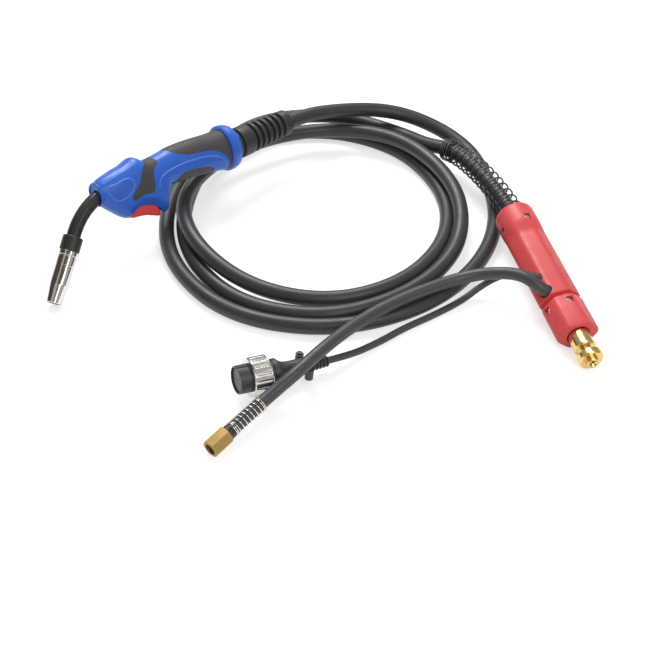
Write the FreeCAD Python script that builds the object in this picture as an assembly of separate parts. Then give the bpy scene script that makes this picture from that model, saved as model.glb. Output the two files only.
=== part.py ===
"""A MIG welding torch with its cable, machine-side adaptor, gas hose and control lead.

The torch lies on a floor at z = 0 as it was put down: the nozzle tip and the adaptor touch the
floor and the handle rests over three loose loops of its own cable. Lengths are in millimetres.
Each piece is drawn in the frame of its own assembly and then placed in the layout.
"""
import FreeCAD, Part
import math
import os

V = FreeCAD.Vector

# Layout: where the assemblies lie
ORIGIN = V(-8.61, -47.66, 0.1)             # middle of the rigid pieces' footprint
HANDLE_FRONT = V(-253.6, -46.7, 82.72)     # centre of the handle's front opening
HANDLE_YAW, HANDLE_PITCH, HANDLE_ROLL = 42.4, 6.0, -26.9
SLEEVE_LIFT = 3.5                          # the kink sleeve bends up from the handle's axis
ADAPTOR_REAR = V(217.9, -20.0, 33.32)
ADAPTOR_YAW, ADAPTOR_PITCH = -76.3, 4.4
SECTION_ROLL = 8.0                         # the adaptor is rolled about its own axis
PLUG_FRONT = V(-88.4, -285.9, 24.5)
PLUG_YAW, PLUG_PITCH = 25.3, 7.6
NUT_FRONT = V(-109.6, -364.9, 8.8)
NUT_YAW, NUT_PITCH = 49.0, -7.2

# Neck and nozzle: x runs out along the nozzle from where its axis meets the handle's axis
NECK_BEND = 52.7                           # turn from the handle's axis to the nozzle's axis
NECK_REACH = 16.0                          # that meeting point lies so far ahead of the handle
NECK_TANGENT = 40.0                        # the bend starts so far from the meeting point
NECK_R = 8.0
CORE_R, CORE_BORE_R = 6.0, 2.6
BAND_START, BAND_END = 45.0, 61.5
BAND_R = 11.3
JACKET_END, CORE_END = 52.0, 60.0
SPIGOT_R, SPIGOT_END = 9.35, 71.0
NOZZLE_TIP = 121.5
NOZZLE_R, NOZZLE_BORE_R, MOUTH_R, LIP = 10.8, 9.4, 7.2, 1.4
TAPER_START = 100.5
HOLDER_R, HOLDER_END = 6.5, 88.0
GAS_HOLE_R, GAS_HOLE_X, GAS_HOLES = 1.2, 74.5, 6
STUB_R, STUB_START = 3.0, 79.0
CONTACT_R, CONTACT_TIP_R, CONTACT_END = 4.0, 3.1, 115.0
WIRE_R = 0.65

# Handle: x runs from the front opening to the rear
HANDLE_END = 175.0
# x, top, bottom and half width of the moulded sections
SECTIONS = ((0, 12.5, -13.6, 12.8), (6, 15.6, -20.5, 14.6), (14, 17.8, -28, 16.5),
            (22, 19.6, -34.6, 18), (29, 21, -37.6, 18.9), (35, 22.2, -34.6, 19.3),
            (43, 24.6, -31, 19.7), (49, 26.8, -30.8, 20), (55, 26.2, -31.8, 19.6),
            (60, 22.8, -33.6, 19), (65, 20, -37, 18.6), (70, 19.4, -41.5, 18.4),
            (75, 19.9, -44.8, 18.1), (79, 20.5, -44.2, 17.9), (82.5, 21, -38.5, 17.7),
            (85.5, 21.5, -27.5, 17.6), (88.5, 21.9, -20.4, 17.5), (94, 23, -18.4, 17.5),
            (104, 24.5, -18.4, 17.5), (118, 25.3, -18.8, 17.6), (132, 25.4, -19.4, 18.1),
            (146, 25, -20.2, 18.9), (160, 24.6, -21.4, 20.2), (HANDLE_END, 25, -24, 22))
SECTION_POINTS = 16
SECTION_STEP = 5.0
STRIPS = ((0.0, 0.25), (0.25, 0.75), (0.75, 1.0))   # shares of the way round of its faces
SECTION_POWER = 0.87                       # below 1 the section is squarer than an ellipse
LIP_R, LIP_BORE_R, LIP_LENGTH = 13.6, 10.6, 2.0
OPENING_DEPTH, OPENING_DROP = 12.0, -0.8
SHELL_WALL = 2.8
GRIP_DEPTH = 1.5
FRONT_ROOM = (15.0, 82.0, -26.0)           # from x, to x, floor
REAR_ROOM = (82.0, 153.0, -15.2)
BULKHEADS = ((40.0, 43.0), (65.0, 68.0), (112.0, 115.0), (150.0, 153.0))
JACKET_IN, CORE_IN = 48.0, 60.0            # the neck's pieces reach so far into the handle
CONNECTOR_START, CONNECTOR_END = 50.0, 119.0
CONNECTOR_R = 10.0
BALL_X, BALL_R, BALL_FRONT = 181.0, 17.0, -13.0
BALL_NECK_R, BALL_NECK_END = 12.9, 14.0
BALL_TAIL_R, BALL_TAIL_END = 12.4, 40.0
COLLAR_END = 191.0
COLLAR_RISE = 1.5
COLLAR_R, COLLAR_END_R = 27.5, 25.8
TRIGGER_OUTLINE = ((28.7, -34.6), (31, -38), (36, -38.9), (43, -39.7), (50, -41), (58, -43.6),
                   (64, -46), (67, -46.4), (68.4, -44.2), (67.6, -38), (66.3, -32.6),
                   (64, -29.4), (52, -27.9), (40, -27.4), (34, -26.6), (29.4, -29))
TRIGGER_HALF = 7.2
TRIGGER_PIVOT = (32.0, -31.0)
TRIGGER_SLOT = (26.6, 70.6, -23.9)         # from x, to x, roof
PIN_R, PIN_HALF = 1.5, 10.2
SWITCH_LOW, SWITCH_HIGH, SWITCH_HALF = -24.0, -14.0, 3.4
PLUNGER_X, PLUNGER_R = 57.0, 1.2
PLUNGER_LOW, PLUNGER_HIGH, PLUNGER_ROOM = -27.1, -19.5, -15.8
SCREW_PLACES = ((9.0, -14.5), (77.0, -36.0), (86.0, 14.6))
SCREW_R, SCREW_HEAD_R, SCREW_REACH, SCREW_HEAD = 1.4, 2.6, 7.0, 2.0
BOSS_R = 3.6
SADDLE = ((63, 31), (62.5, 20), (53, 11), (46, 0), (37, -9), (32, -15), (34.5, -19.2),
          (40, -18.5), (48, -16), (61, -17), (65, -8), (66, 2), (70, 8), (77, 12.5),
          (76, 20), (75, 31))
REAR_TOP = ((93, 31), (95, 24), (101, 18), (112, 12.5), (126, 9), (142, 7.5), (152, 5.5),
            (160, 1.5), (166, -4), (170, -11), (171.5, -19), (172, -29))
REAR_LOW = ((95, -22), (97, -14), (104, -9), (114, -7.5), (127, -8.5), (146, -12.5),
            (151, -16), (153, -24))

# Kink sleeve: x runs along it from the ball's centre
SLEEVE_START, SLEEVE_END = 14.0, 106.0
SLEEVE_R, SLEEVE_END_R = 18.0, 14.2
SLEEVE_PLAIN, SLEEVE_RIBS_END = 41.0, 95.0
SLEEVE_RIBS, SLEEVE_GROOVE = 6, 3.4

# Main cable
CABLE_R = 9.0
CABLE_GAP = 0.8
SLEEVE_REACH = 125.0                       # the cable runs straight so far past the ball
LEAD_POINTS = (V(20, 186, 51), V(74, 203, 41.5), V(120, 199, 31), V(166, 172, 19.5))
LOOP_CENTRE = V(3, 20, 0)
LOOP_STEP, LOOP_FIRST = 30.0, 30.0
# Radius and height at every step of each turn, from the right-hand side round the near side
TURNS = ((214, 10), (199, 9.2), (195, 9.1), (199, 9.1), (207, 9.1), (210, 9.1),
         (198, 9.1), (189, 9.1), (193, 9.1), (188, 9.1), (181, 9.1), (165, 9.1),
         (147, 9.1), (142, 9.1), (144, 9.1), (153, 9.1), (162, 9.1), (167, 16),
         (170, 29), (170, 29), (156, 30), (150, 29), (160, 24), (160, 28),
         (151, 29), (156, 23), (165, 13), (172, 9.1), (188, 9.1), (190, 9.1),
         (176, 9.1), (169, 10), (171, 22), (190, 32), (203, 19))
TAIL_POINTS = (V(62, 212, 14), V(103, 180, 17), V(128, 146, 24.5), V(155, 123.5, 33))
ARC_SHARE = 0.45                           # of the shorter run beside a point

# Adaptor: x runs from the rear opening towards the plug
ADAPTOR_END = 198.0
ADAPTOR_HALF, ADAPTOR_FLAT = 23.5, 3.0     # half width, and half height of the side flats
ADAPTOR_RISE, ADAPTOR_TOP = 17.0, 10.0     # half height, and half width of the top flat
ADAPTOR_EDGE_R = 3.0
COLLAR_TUBE_R, COLLAR_TUBE_END, COLLAR_CONE_END = 23.0, 30.0, 46.0
GROOVE_X, GROOVE_WIDTH, GROOVE_DEPTH = 147.0, 3.6, 1.6
POCKET_DEPTH = 12.0
HOLDER_RING_R, HOLDER_RING_BORE_R = 18.0, 15.7
CABLE_BORE_R = 9.8
BLOCK_R, BLOCK_START, BLOCK_END = 10.5, 15.0, 155.0
ADAPTOR_SCREWS = (27.0, 160.0)
ADAPTOR_SCREW_ANGLE = 10.0
ADAPTOR_SCREW_R, ADAPTOR_SCREW_HEAD_R = 1.7, 3.2
SCREW_SEAT = 12.2                          # height of the screw heads' seats over the axis
RECESS_LENGTH, RECESS_WIDTH = 11.0, 8.4
PLUG_R, PLUG_LENGTH = 11.8, 20.0
PLUG_NECK_R, PLUG_NECK, PLUG_SHOULDER = 6.0, 7.0, 1.6
PLUG_DISC_R, PLUG_DISC = 13.2, 9.5
PLUG_EDGE, PLUG_DISC_EDGE = 0.6, 2.2
LINER_BORE_R, LINER_REACH = 2.6, 60.0      # bore for the wire's liner, and its depth in the block
INLET_R, INLET_LENGTH, INLET_BORE_R = 7.0, 4.5, 2.0
INLET_SHANK_R, INLET_SHANK = 5.45, 5.0
INLET_MOUTH_R, INLET_MOUTH_DEPTH, INLET_EDGE = 4.6, 2.6, 0.8
GAS_PORT = V(142, -15.0, 11.3)             # where the hose leaves the adaptor's side
GAS_EXIT = V(-0.76, -0.62, 0.20)
LEAD_PORT = V(116, -15.0, 11.3)
LEAD_EXIT = V(-0.60, -0.75, 0.05)
PORT_DEPTH = 6.0
HOSE_OUT, LEAD_OUT = 17.0, 13.0            # both run straight so far out of their ports

# Cable spring: its axis leaves the adaptor straight and curves to the left
SPRING_WIRE_R, SPRING_R = 1.0, 14.2
SPRING_CLOSED, SPRING_OPEN = 3, 12
SPRING_END = V(155, 126, 34)
CABLE_STRAIGHT = 28.0                      # the cable runs straight so far out of the adaptor
CABLE_BEND_SHARE, CABLE_BEND_OUT = 0.72, 1.2
WIRE_GAP = 0.6

# Gas hose and its fitting: x runs from the nut's face along the hose
HOSE_R = 6.8
HOSE_POINTS = (V(200, -134, 40), V(173, -126, 33), V(142, -129.5, 27.5),
               V(110, -145, 26.5), V(76, -166, 26.5), V(46, -190, 27), V(20, -218, 29),
               V(-5, -252, 33), V(-30, -283, 30))
HOSE_STRAIGHT = 82.0
NUT_ACROSS, NUT_LENGTH = 17.5, 23.0
NUT_THREAD_R, NUT_THREAD_LENGTH, NUT_CHAMFER = 6.2, 9.8, 1.0
NUT_SEAT_R, NUT_SEAT_END = 6.9, 14.3       # wider room behind the thread for the stem's head
STEM_R, STEM_HEAD_R, STEM_HEAD, STEM_BORE_R = 4.9, 5.9, 4.0, 2.5
FERRULE_R, FERRULE_LENGTH = 7.6, 5.7
HOSE_SPRING_WIRE_R, HOSE_SPRING_R = 0.6, 7.8
HOSE_SPRING_LENGTH = 42.0
HOSE_SPRING_CLOSED, HOSE_SPRING_OPEN = 2, 9

# Control plug: x runs from the barrel's face to the lead
CONTROL_R = 3.75
BARREL_R, BARREL_WALL, BARREL_END = 14.7, 1.6, 34.0
BARREL_NECK_R, BARREL_NECK_START = 14.2, 12.4   # the coupling ring turns on this neck
INSERT_FACE = 1.6
CONTACT_PIN_R, CONTACT_PIN_BORE_R, CONTACT_CIRCLE_R, CONTACT_PINS = 1.5, 0.8, 7.2, 5
RING_R, RING_START, RING_END = 20.2, 13.0, 33.6
RING_RIM, RING_SCALLOPS, SCALLOP_R, SCALLOP_DEPTH = 2.2, 16, 2.0, 1.1
BACKSHELL_R, BACKSHELL_NECK_R, BACKSHELL_END = 14.4, 8.6, 70.0
CLAMP_END, CLAMP_R, CLAMP_LOBE, CLAMP_LOBE_R = 80.0, 9.0, 12.6, 4.4
CLAMP_HALF = 6.0
BOOT_END, BOOT_R, BOOT_END_R, BOOT_RIBS = 101.0, 7.4, 5.8, 5
LEAD_FLOOR = (V(202, -124.5, 32), V(186, -121, 22), V(170, -124, 11.5), V(156, -133, 5.2),
              V(141, -145, 3.9), V(116.5, -163, 3.9), V(84, -184, 3.9), V(58, -206, 4.3))

# Clearances
SEAT_GAP = 0.05
RUN_GAP = 0.1
OPEN_GAP = 0.4


def direction(yaw, pitch):
    """Unit vector: yaw about +Z, then pitch downwards."""
    y = math.radians(yaw)
    p = math.radians(pitch)
    return V(math.cos(p) * math.cos(y), math.cos(p) * math.sin(y), -math.sin(p))


def place(origin, yaw, pitch, roll=0.0):
    """Placement whose X axis points along yaw and pitch, rolled about itself."""
    return FreeCAD.Placement(origin - ORIGIN, FreeCAD.Rotation(yaw, pitch, roll))


HANDLE = place(HANDLE_FRONT, HANDLE_YAW, HANDLE_PITCH, HANDLE_ROLL)
NOZZLE = HANDLE.multiply(FreeCAD.Placement(V(-NECK_REACH, 0, 0),
                                           FreeCAD.Rotation(V(0, 1, 0), 180 - NECK_BEND)))
SLEEVE = HANDLE.multiply(FreeCAD.Placement(V(BALL_X, 0, 0),
                                           FreeCAD.Rotation(V(0, 1, 0), -SLEEVE_LIFT)))
ADAPTOR = place(ADAPTOR_REAR, ADAPTOR_YAW, ADAPTOR_PITCH)
PLUG = place(PLUG_FRONT, PLUG_YAW, PLUG_PITCH)
FITTING = place(NUT_FRONT, NUT_YAW, NUT_PITCH)


def export(name, shape, placement=None):
    """Write one node, placed in the layout."""
    if placement is not None:
        shape = shape.copy()
        shape.Placement = placement.multiply(shape.Placement)
    if not shape.Solids or not shape.isValid():
        raise ValueError(name + " is not a valid solid")
    shape.exportStep("parts/" + name + ".step")
    print(name, len(shape.Solids), round(shape.Volume))


def rod(x0, x1, radius, y=0.0, z=0.0):
    """Cylinder along x."""
    return Part.makeCylinder(radius, x1 - x0, V(x0, y, z), V(1, 0, 0))


def pin(x, z, radius, y0, y1):
    """Cylinder along y."""
    return Part.makeCylinder(radius, y1 - y0, V(x, y0, z), V(0, 1, 0))


def turned(outline):
    """Solid turned about x from a closed outline of (x, radius) points."""
    points = [V(x, 0, r) for x, r in outline]
    face = Part.Face(Part.makePolygon(points + points[:1]))
    return face.revolve(V(0, 0, 0), V(1, 0, 0), 360)


def block(x0, x1, y0, y1, z0, z1):
    """Box between two corners."""
    return Part.makeBox(x1 - x0, y1 - y0, z1 - z0, V(x0, y0, z0))


def smooth_slab(points, y0, y1, corners=()):
    """Solid between y0 and y1 inside a smooth curve through (x, z) points.

    Straight runs over the corners close it.
    """
    curve = Part.BSplineCurve()
    curve.interpolate([V(x, y0, z) for x, z in points])
    ends = [V(x, y0, z) for x, z in points[-1:] + tuple(corners) + points[:1]]
    runs = [Part.LineSegment(a, b).toShape() for a, b in zip(ends, ends[1:])]
    face = Part.Face(Part.Wire([curve.toShape()] + runs))
    return face.extrude(V(0, y1 - y0, 0))


def around_x(shape, count, first=0.0):
    """Copies of a shape evenly round the x axis."""
    copies = []
    for k in range(count):
        copy = shape.copy()
        copy.rotate(V(0, 0, 0), V(1, 0, 0), first + 360.0 * k / count)
        copies.append(copy)
    return copies


def cord(points, radius, first=1, last=None):
    """Round solid along straight runs joined by tangent arcs.

    It holds the bends at points first to last. Between two bends it is cut halfway along the
    run, where the next stretch of the same cord goes on.
    """
    end = len(points) - 2
    last = end if last is None else last
    edges = []
    radii = []
    at = points[0] if first == 1 else (points[first - 1] + points[first]) * 0.5
    length = 0.0
    for k in range(first, last + 1):
        back = points[k - 1] - points[k]
        on = points[k + 1] - points[k]
        run = min(back.Length, on.Length)
        back = back.normalize()
        on = on.normalize()
        half = math.acos(max(-1.0, min(1.0, -back.dot(on)))) / 2
        reach = ARC_SHARE * run
        arc_r = reach / math.tan(half)
        radii.append(arc_r)
        start = points[k] + back * reach
        finish = points[k] + on * reach
        inward = (back + on).normalize()
        middle = points[k] + inward * (arc_r / math.cos(half) - arc_r)
        edges.append(Part.LineSegment(at, start).toShape())
        edges.append(Part.Arc(start, middle, finish).toShape())
        length += at.distanceToPoint(start) + 2 * half * arc_r
        at = finish
    stop = points[-1] if last == end else (points[last] + points[last + 1]) * 0.5
    edges.append(Part.LineSegment(at, stop).toShape())
    length += at.distanceToPoint(stop)
    path = Part.Wire(edges)
    heading = edges[0].tangentAt(edges[0].FirstParameter)
    ring = Part.Wire(Part.makeCircle(radius, edges[0].Vertexes[0].Point, heading))
    solid = path.makePipeShell([ring], True, False)
    area = math.pi * radius ** 2
    print("cord length %.0f, least radius %.0f, volume ratio %.4f"
          % (length, min(radii), solid.Volume / (area * length)))
    return solid


def arc_through(start, heading, finish):
    """Arc from start, leaving along heading, to finish."""
    chord = finish - start
    reach = chord.dot(chord) / (2 * chord.dot(heading))
    corner = start + heading * reach
    weight = heading.dot(chord) / chord.Length
    middle = (start + finish + corner * (2 * weight)) * (1 / (2 + 2 * weight))
    return Part.Arc(start, middle, finish)


def biarc(p0, t0, p1, t1):
    """Two tangent arcs between two points with given headings."""
    gap = p1 - p0
    both = t0 + t1
    a = 2 * (1 - t0.dot(t1))
    b = gap.dot(both)
    reach = (math.sqrt(b * b + a * gap.dot(gap)) - b) / a
    middle = (p0 + t0 * reach + p1 - t1 * reach) * 0.5
    second = arc_through(p1, t1 * -1, middle)
    turned_round = Part.Arc(middle, second.value((second.FirstParameter
                                                  + second.LastParameter) / 2), p1)
    return arc_through(p0, t0, middle), turned_round


def spring(axis, length, radius, wire_r, closed, open_turns, name):
    """Wire spring round an axis, with closed coils at both ends.

    axis(s) gives the point and two cross directions at a distance s along the axis.
    """
    tight = 2 * wire_r + WIRE_GAP
    loose = (length - 2 * closed * tight) / open_turns
    total = 2 * closed + open_turns

    def advance(u):
        if u < closed:
            return tight * u
        if u < closed + open_turns:
            return tight * closed + loose * (u - closed)
        return length - tight * (total - u)

    def at(u):
        point, side, up = axis(advance(u))
        angle = 2 * math.pi * u
        return point + side * (radius * math.cos(angle)) + up * (radius * math.sin(angle))

    step = 0.01
    marks = [k / 4 for k in range(4 * total + 1)]
    points = [at(u) for u in marks]
    headings = [(at(u + step) - at(u - step)).normalize() for u in marks]
    begin = points[0] - headings[0] * (2 * wire_r)
    finish = points[-1] + headings[-1] * (2 * wire_r)
    edges = [Part.LineSegment(begin, points[0]).toShape()]
    for k in range(len(marks) - 1):
        for arc in biarc(points[k], headings[k], points[k + 1], headings[k + 1]):
            edges.append(arc.toShape())
    edges.append(Part.LineSegment(points[-1], finish).toShape())
    per_turn = 24
    trace = [at(k / per_turn) for k in range(per_turn * total + 1)]
    least = min(trace[i].distanceToPoint(trace[j]) for i in range(len(trace))
                for j in range(i + per_turn // 2, len(trace)))
    print(name, "least gap to itself %.2f" % (least - 2 * wire_r))
    ring = Part.Wire(Part.makeCircle(wire_r, begin, headings[0]))
    return Part.Wire(edges).makePipeShell([ring], True, False)


def ribs(x0, x1, count, r0, r1, groove):
    """Outline points of turned ribs from x0 to x1, tapering from r0 to r1."""
    pitch = (x1 - x0) / count
    points = []
    for k in range(count):
        start = x0 + k * pitch
        outer = r0 + (r1 - r0) * (k + 0.5) / count
        points += [(start, outer - groove), (start + 0.36 * pitch, outer - groove),
                   (start + 0.44 * pitch, outer), (start + 0.92 * pitch, outer)]
    return points


def neck_bar(radius, start, end):
    """Round bar along the bent neck, in the handle's frame.

    It starts at a distance along the nozzle's axis and ends at an x inside the handle.
    """
    bend = NECK_TANGENT / math.tan(math.radians(NECK_BEND / 2))
    arc_end = NECK_TANGENT - NECK_REACH
    out = direction(0, 180 - NECK_BEND)
    arc_start = V(-NECK_REACH, 0, 0) + out * NECK_TANGENT
    straight = Part.makeCylinder(radius, start - NECK_TANGENT, arc_start, out)
    ring = Part.Face(Part.Wire(Part.makeCircle(radius, V(arc_end, 0, 0), V(1, 0, 0))))
    arc = ring.revolve(V(arc_end, 0, -bend), V(0, -1, 0), NECK_BEND)
    return straight.fuse([arc, rod(arc_end, end, radius)])


def profile(x):
    """Top, bottom and half width of the handle at x, eased between the given sections."""
    k = 0
    while k < len(SECTIONS) - 2 and x > SECTIONS[k + 1][0]:
        k += 1
    here, there = SECTIONS[k], SECTIONS[k + 1]
    before = SECTIONS[max(k - 1, 0)]
    after = SECTIONS[min(k + 2, len(SECTIONS) - 1)]
    span = there[0] - here[0]
    t = (x - here[0]) / span
    sizes = []
    for i in (1, 2, 3):
        slope_here = (there[i] - before[i]) / (there[0] - before[0]) * span
        slope_there = (after[i] - here[i]) / (after[0] - here[0]) * span
        sizes.append(here[i] * (1 + 2 * t) * (1 - t) ** 2 + slope_here * t * (1 - t) ** 2
                     + there[i] * t * t * (3 - 2 * t) + slope_there * t * t * (t - 1))
    return sizes


def handle_section(x, inset):
    """Closed curve round the handle at x, drawn in by an inset."""
    top, bottom, half = profile(min(x, HANDLE_END))
    points = []
    for k in range(SECTION_POINTS):
        angle = 2 * math.pi * k / SECTION_POINTS
        c = math.cos(angle)
        s = math.sin(angle)
        rise = (top if s > 0 else -bottom) - inset
        y = math.copysign((half - inset) * abs(c) ** SECTION_POWER, c)
        z = math.copysign(rise * abs(s) ** SECTION_POWER, s)
        points.append(V(x, y, z))
    curve = Part.BSplineCurve()
    curve.interpolate(Points=points, PeriodicFlag=True,
                      Parameters=[k / SECTION_POINTS for k in range(SECTION_POINTS + 1)])
    return curve


def handle_form(inset):
    """The moulded outside of the handle, or the form inside it at an inset.

    One smooth surface runs through all the sections, in three strips that meet along the
    top, the bottom and one side. An inner form runs on past the handle's end, so that it cuts
    right through.
    """
    count = round(HANDLE_END / SECTION_STEP)
    places = [HANDLE_END * n / count for n in range(count + (2 if inset > 0 else 1))]
    sections = [handle_section(x, inset) for x in places]
    columns = []
    for k in range(1, sections[0].NbPoles + 1):
        column = Part.BSplineCurve()
        column.interpolate(Points=[s.getPole(k) for s in sections], Parameters=places)
        columns.append(column)
    poles = [[c.getPole(k) for c in columns] for k in range(1, columns[0].NbPoles + 1)]
    surface = Part.BSplineSurface()
    surface.buildFromPolesMultsKnots(poles, columns[0].getMultiplicities(),
                                     sections[0].getMultiplicities(), columns[0].getKnots(),
                                     sections[0].getKnots(), False, True,
                                     columns[0].Degree, sections[0].Degree)
    surface.setVNotPeriodic()
    along = surface.bounds()[:2]
    sides = []
    for start, finish in STRIPS:
        strip = surface.copy()
        strip.segment(*along, start, finish)
        sides.append(strip.toShape())
    caps = []
    for x in (places[0], places[-1]):
        rim = [e for side in sides for e in side.Edges
               if abs(e.BoundBox.XMin - x) < SEAT_GAP and abs(e.BoundBox.XMax - x) < SEAT_GAP]
        caps.append(Part.Face(Part.Wire(Part.__sortEdges__(rim))))
    shell = Part.Shell(sides + caps)
    shell.sewShape()
    solid = Part.Solid(shell)
    if solid.Volume < 0:
        solid.reverse()
    return solid


def nozzle_pieces():
    """Nozzle, insulating band, contact tip and the holder behind it."""
    bore = NOZZLE_BORE_R
    lip_start = NOZZLE_TIP - 3.0
    nozzle = turned(((BAND_END, bore), (BAND_END, 10.5), (62, 11), (66.6, 11), (67.2, 10.4),
                     (67.8, 10.4), (68.4, 10.95), (78.2, 10.95), (78.8, NOZZLE_R),
                     (TAPER_START, NOZZLE_R), (NOZZLE_TIP - 0.5, MOUTH_R + LIP),
                     (NOZZLE_TIP, MOUTH_R + LIP - 0.5), (NOZZLE_TIP, MOUTH_R),
                     (lip_start, MOUTH_R), (TAPER_START, bore)))
    export("gas_nozzle", nozzle, NOZZLE)
    holder_seat = HOLDER_R + SEAT_GAP
    band = turned(((BAND_START, NECK_R + SEAT_GAP), (BAND_START, BAND_R - 0.8),
                   (BAND_START + 0.8, BAND_R), (BAND_END - 0.5, BAND_R),
                   (BAND_END - SEAT_GAP, BAND_R - 0.5), (BAND_END - SEAT_GAP, SPIGOT_R),
                   (SPIGOT_END, SPIGOT_R), (SPIGOT_END, holder_seat),
                   (CORE_END, holder_seat), (CORE_END, CORE_R + SEAT_GAP),
                   (JACKET_END, CORE_R + SEAT_GAP), (JACKET_END, NECK_R + SEAT_GAP)))
    export("nozzle_insulator", band, NOZZLE)
    holder = turned(((CORE_END, CORE_BORE_R), (CORE_END, HOLDER_R), (HOLDER_END - 4, HOLDER_R),
                     (HOLDER_END, HOLDER_R - 1), (HOLDER_END, STUB_R + SEAT_GAP),
                     (STUB_START, STUB_R + SEAT_GAP), (STUB_START, CORE_BORE_R)))
    hole = Part.makeCylinder(GAS_HOLE_R, HOLDER_R + 1, V(GAS_HOLE_X, 0, 0), V(0, 0, 1))
    export("tip_holder", holder.cut(around_x(hole, GAS_HOLES)), NOZZLE)
    tip = turned(((STUB_START, WIRE_R), (STUB_START, STUB_R), (HOLDER_END, STUB_R),
                  (HOLDER_END, CONTACT_R), (CONTACT_END - 7, CONTACT_R),
                  (CONTACT_END, CONTACT_TIP_R), (CONTACT_END, WIRE_R)))
    flat = block(HOLDER_END + 2, HOLDER_END + 8, -6, 6, CONTACT_R - 0.6, CONTACT_R + 1)
    export("contact_tip", tip.cut(around_x(flat, 2)), NOZZLE)


def neck_pieces():
    """Copper core, black jacket and the brass connector inside the handle."""
    core = neck_bar(CORE_R, CORE_END, CORE_IN).cut(neck_bar(CORE_BORE_R, CORE_END + 1,
                                                            CORE_IN + 1))
    export("neck_core", core, HANDLE)
    jacket = neck_bar(NECK_R, JACKET_END, JACKET_IN)
    jacket = jacket.cut(neck_bar(CORE_R + SEAT_GAP, JACKET_END + 1, JACKET_IN + 1))
    export("neck_jacket", jacket, HANDLE)
    connector = turned(((CONNECTOR_START, CORE_R + SEAT_GAP), (CONNECTOR_START, CONNECTOR_R),
                        (CONNECTOR_END, CONNECTOR_R), (CONNECTOR_END, CORE_BORE_R),
                        (CORE_IN, CORE_BORE_R), (CORE_IN, CORE_R + SEAT_GAP)))
    export("cable_connector", connector, HANDLE)


def handle_pieces():
    """Two shells, three soft grips, the collar and the screws."""
    outside = handle_form(0)
    under_grips = handle_form(GRIP_DEPTH)
    wide = 30.0
    beyond = ((HANDLE_END + 1, REAR_TOP[-1][1]), (HANDLE_END + 1, REAR_TOP[0][1]))
    saddle = smooth_slab(SADDLE, -wide, wide)
    rear_top = smooth_slab(REAR_TOP, -wide, wide, beyond)
    rear_low = smooth_slab(REAR_LOW, -wide, wide)
    grips = []
    for name, area in (("front_grip", saddle), ("rear_top_grip", rear_top),
                       ("rear_bottom_grip", rear_low)):
        grips.append(outside.common(area).cut(under_grips))
        export(name, grips[-1], HANDLE)

    hollow = handle_form(SHELL_WALL)
    rooms = []
    for x0, x1, floor in (FRONT_ROOM, REAR_ROOM):
        rooms.append(hollow.common(block(x0, x1, -wide, wide, floor, wide)))
    room = rooms[0].fuse(rooms[1])
    keep = [block(x0, x1, -wide, wide, -wide, wide) for x0, x1 in BULKHEADS]
    keep += [pin(x, z, BOSS_R, -wide, wide) for x, z in SCREW_PLACES]
    room = room.cut(keep)
    lip = Part.makeCylinder(LIP_R, LIP_LENGTH + 2, V(-LIP_LENGTH, 0, OPENING_DROP), V(1, 0, 0))
    opening = Part.makeCylinder(LIP_BORE_R, OPENING_DEPTH + LIP_LENGTH,
                                V(-LIP_LENGTH, 0, OPENING_DROP), V(1, 0, 0))
    x0, x1, roof = TRIGGER_SLOT
    slot_half = TRIGGER_HALF + OPEN_GAP
    switch_x0, switch_x1 = BULKHEADS[0][1], BULKHEADS[1][0]
    tools = [room, opening, neck_bar(NECK_R + SEAT_GAP, NECK_TANGENT + 1, JACKET_IN),
             rod(JACKET_IN, CONNECTOR_END + 1, CONNECTOR_R + SEAT_GAP),
             rod(CONNECTOR_END, HANDLE_END + 1, CABLE_R + CABLE_GAP),
             rod(REAR_ROOM[1], HANDLE_END + 1, BALL_R + OPEN_GAP),
             block(x0, x1, -slot_half, slot_half, -wide - 30, roof),
             block(switch_x0, switch_x1, -SWITCH_HALF - SEAT_GAP, SWITCH_HALF + SEAT_GAP,
                   SWITCH_LOW, SWITCH_HIGH + SEAT_GAP),
             pin(TRIGGER_PIVOT[0], TRIGGER_PIVOT[1], PIN_R + SEAT_GAP, -PIN_HALF, PIN_HALF)]
    for x, z in SCREW_PLACES:
        tools.append(pin(x, z, SCREW_R + SEAT_GAP, -SCREW_REACH, SCREW_REACH))
        tools.append(pin(x, z, SCREW_HEAD_R + SEAT_GAP, SCREW_REACH - SCREW_HEAD, wide))
    body = outside.fuse(lip).cut(grips).cut(tools)
    half_room = block(-50, HANDLE_END + 50, -wide - 30, 0, -2 * wide - 30, 2 * wide)
    export("handle_left_shell", body.common(half_room), HANDLE)
    export("handle_right_shell", body.cut(half_room), HANDLE)

    screws = []
    for x, z in SCREW_PLACES:
        shank = pin(x, z, SCREW_R, -SCREW_REACH, SCREW_REACH - SCREW_HEAD)
        head = pin(x, z, SCREW_HEAD_R, SCREW_REACH - SCREW_HEAD, SCREW_REACH)
        screws.append(shank.fuse(head))
    export("handle_screws", Part.makeCompound(screws), HANDLE)

    collar = turned(((HANDLE_END, 0), (HANDLE_END, COLLAR_R - 2), (HANDLE_END + 2.5, COLLAR_R),
                     (HANDLE_END + 8, COLLAR_R), (COLLAR_END - 2.5, COLLAR_END_R),
                     (COLLAR_END, COLLAR_END_R - 2.5), (COLLAR_END, 0)))
    collar.translate(V(0, 0, COLLAR_RISE))
    socket_r = BALL_R + OPEN_GAP
    collar = collar.cut([Part.makeSphere(socket_r, V(BALL_X, 0, 0)),
                         rod(HANDLE_END - 1, BALL_X, socket_r)])
    export("handle_collar", collar, HANDLE)


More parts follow.
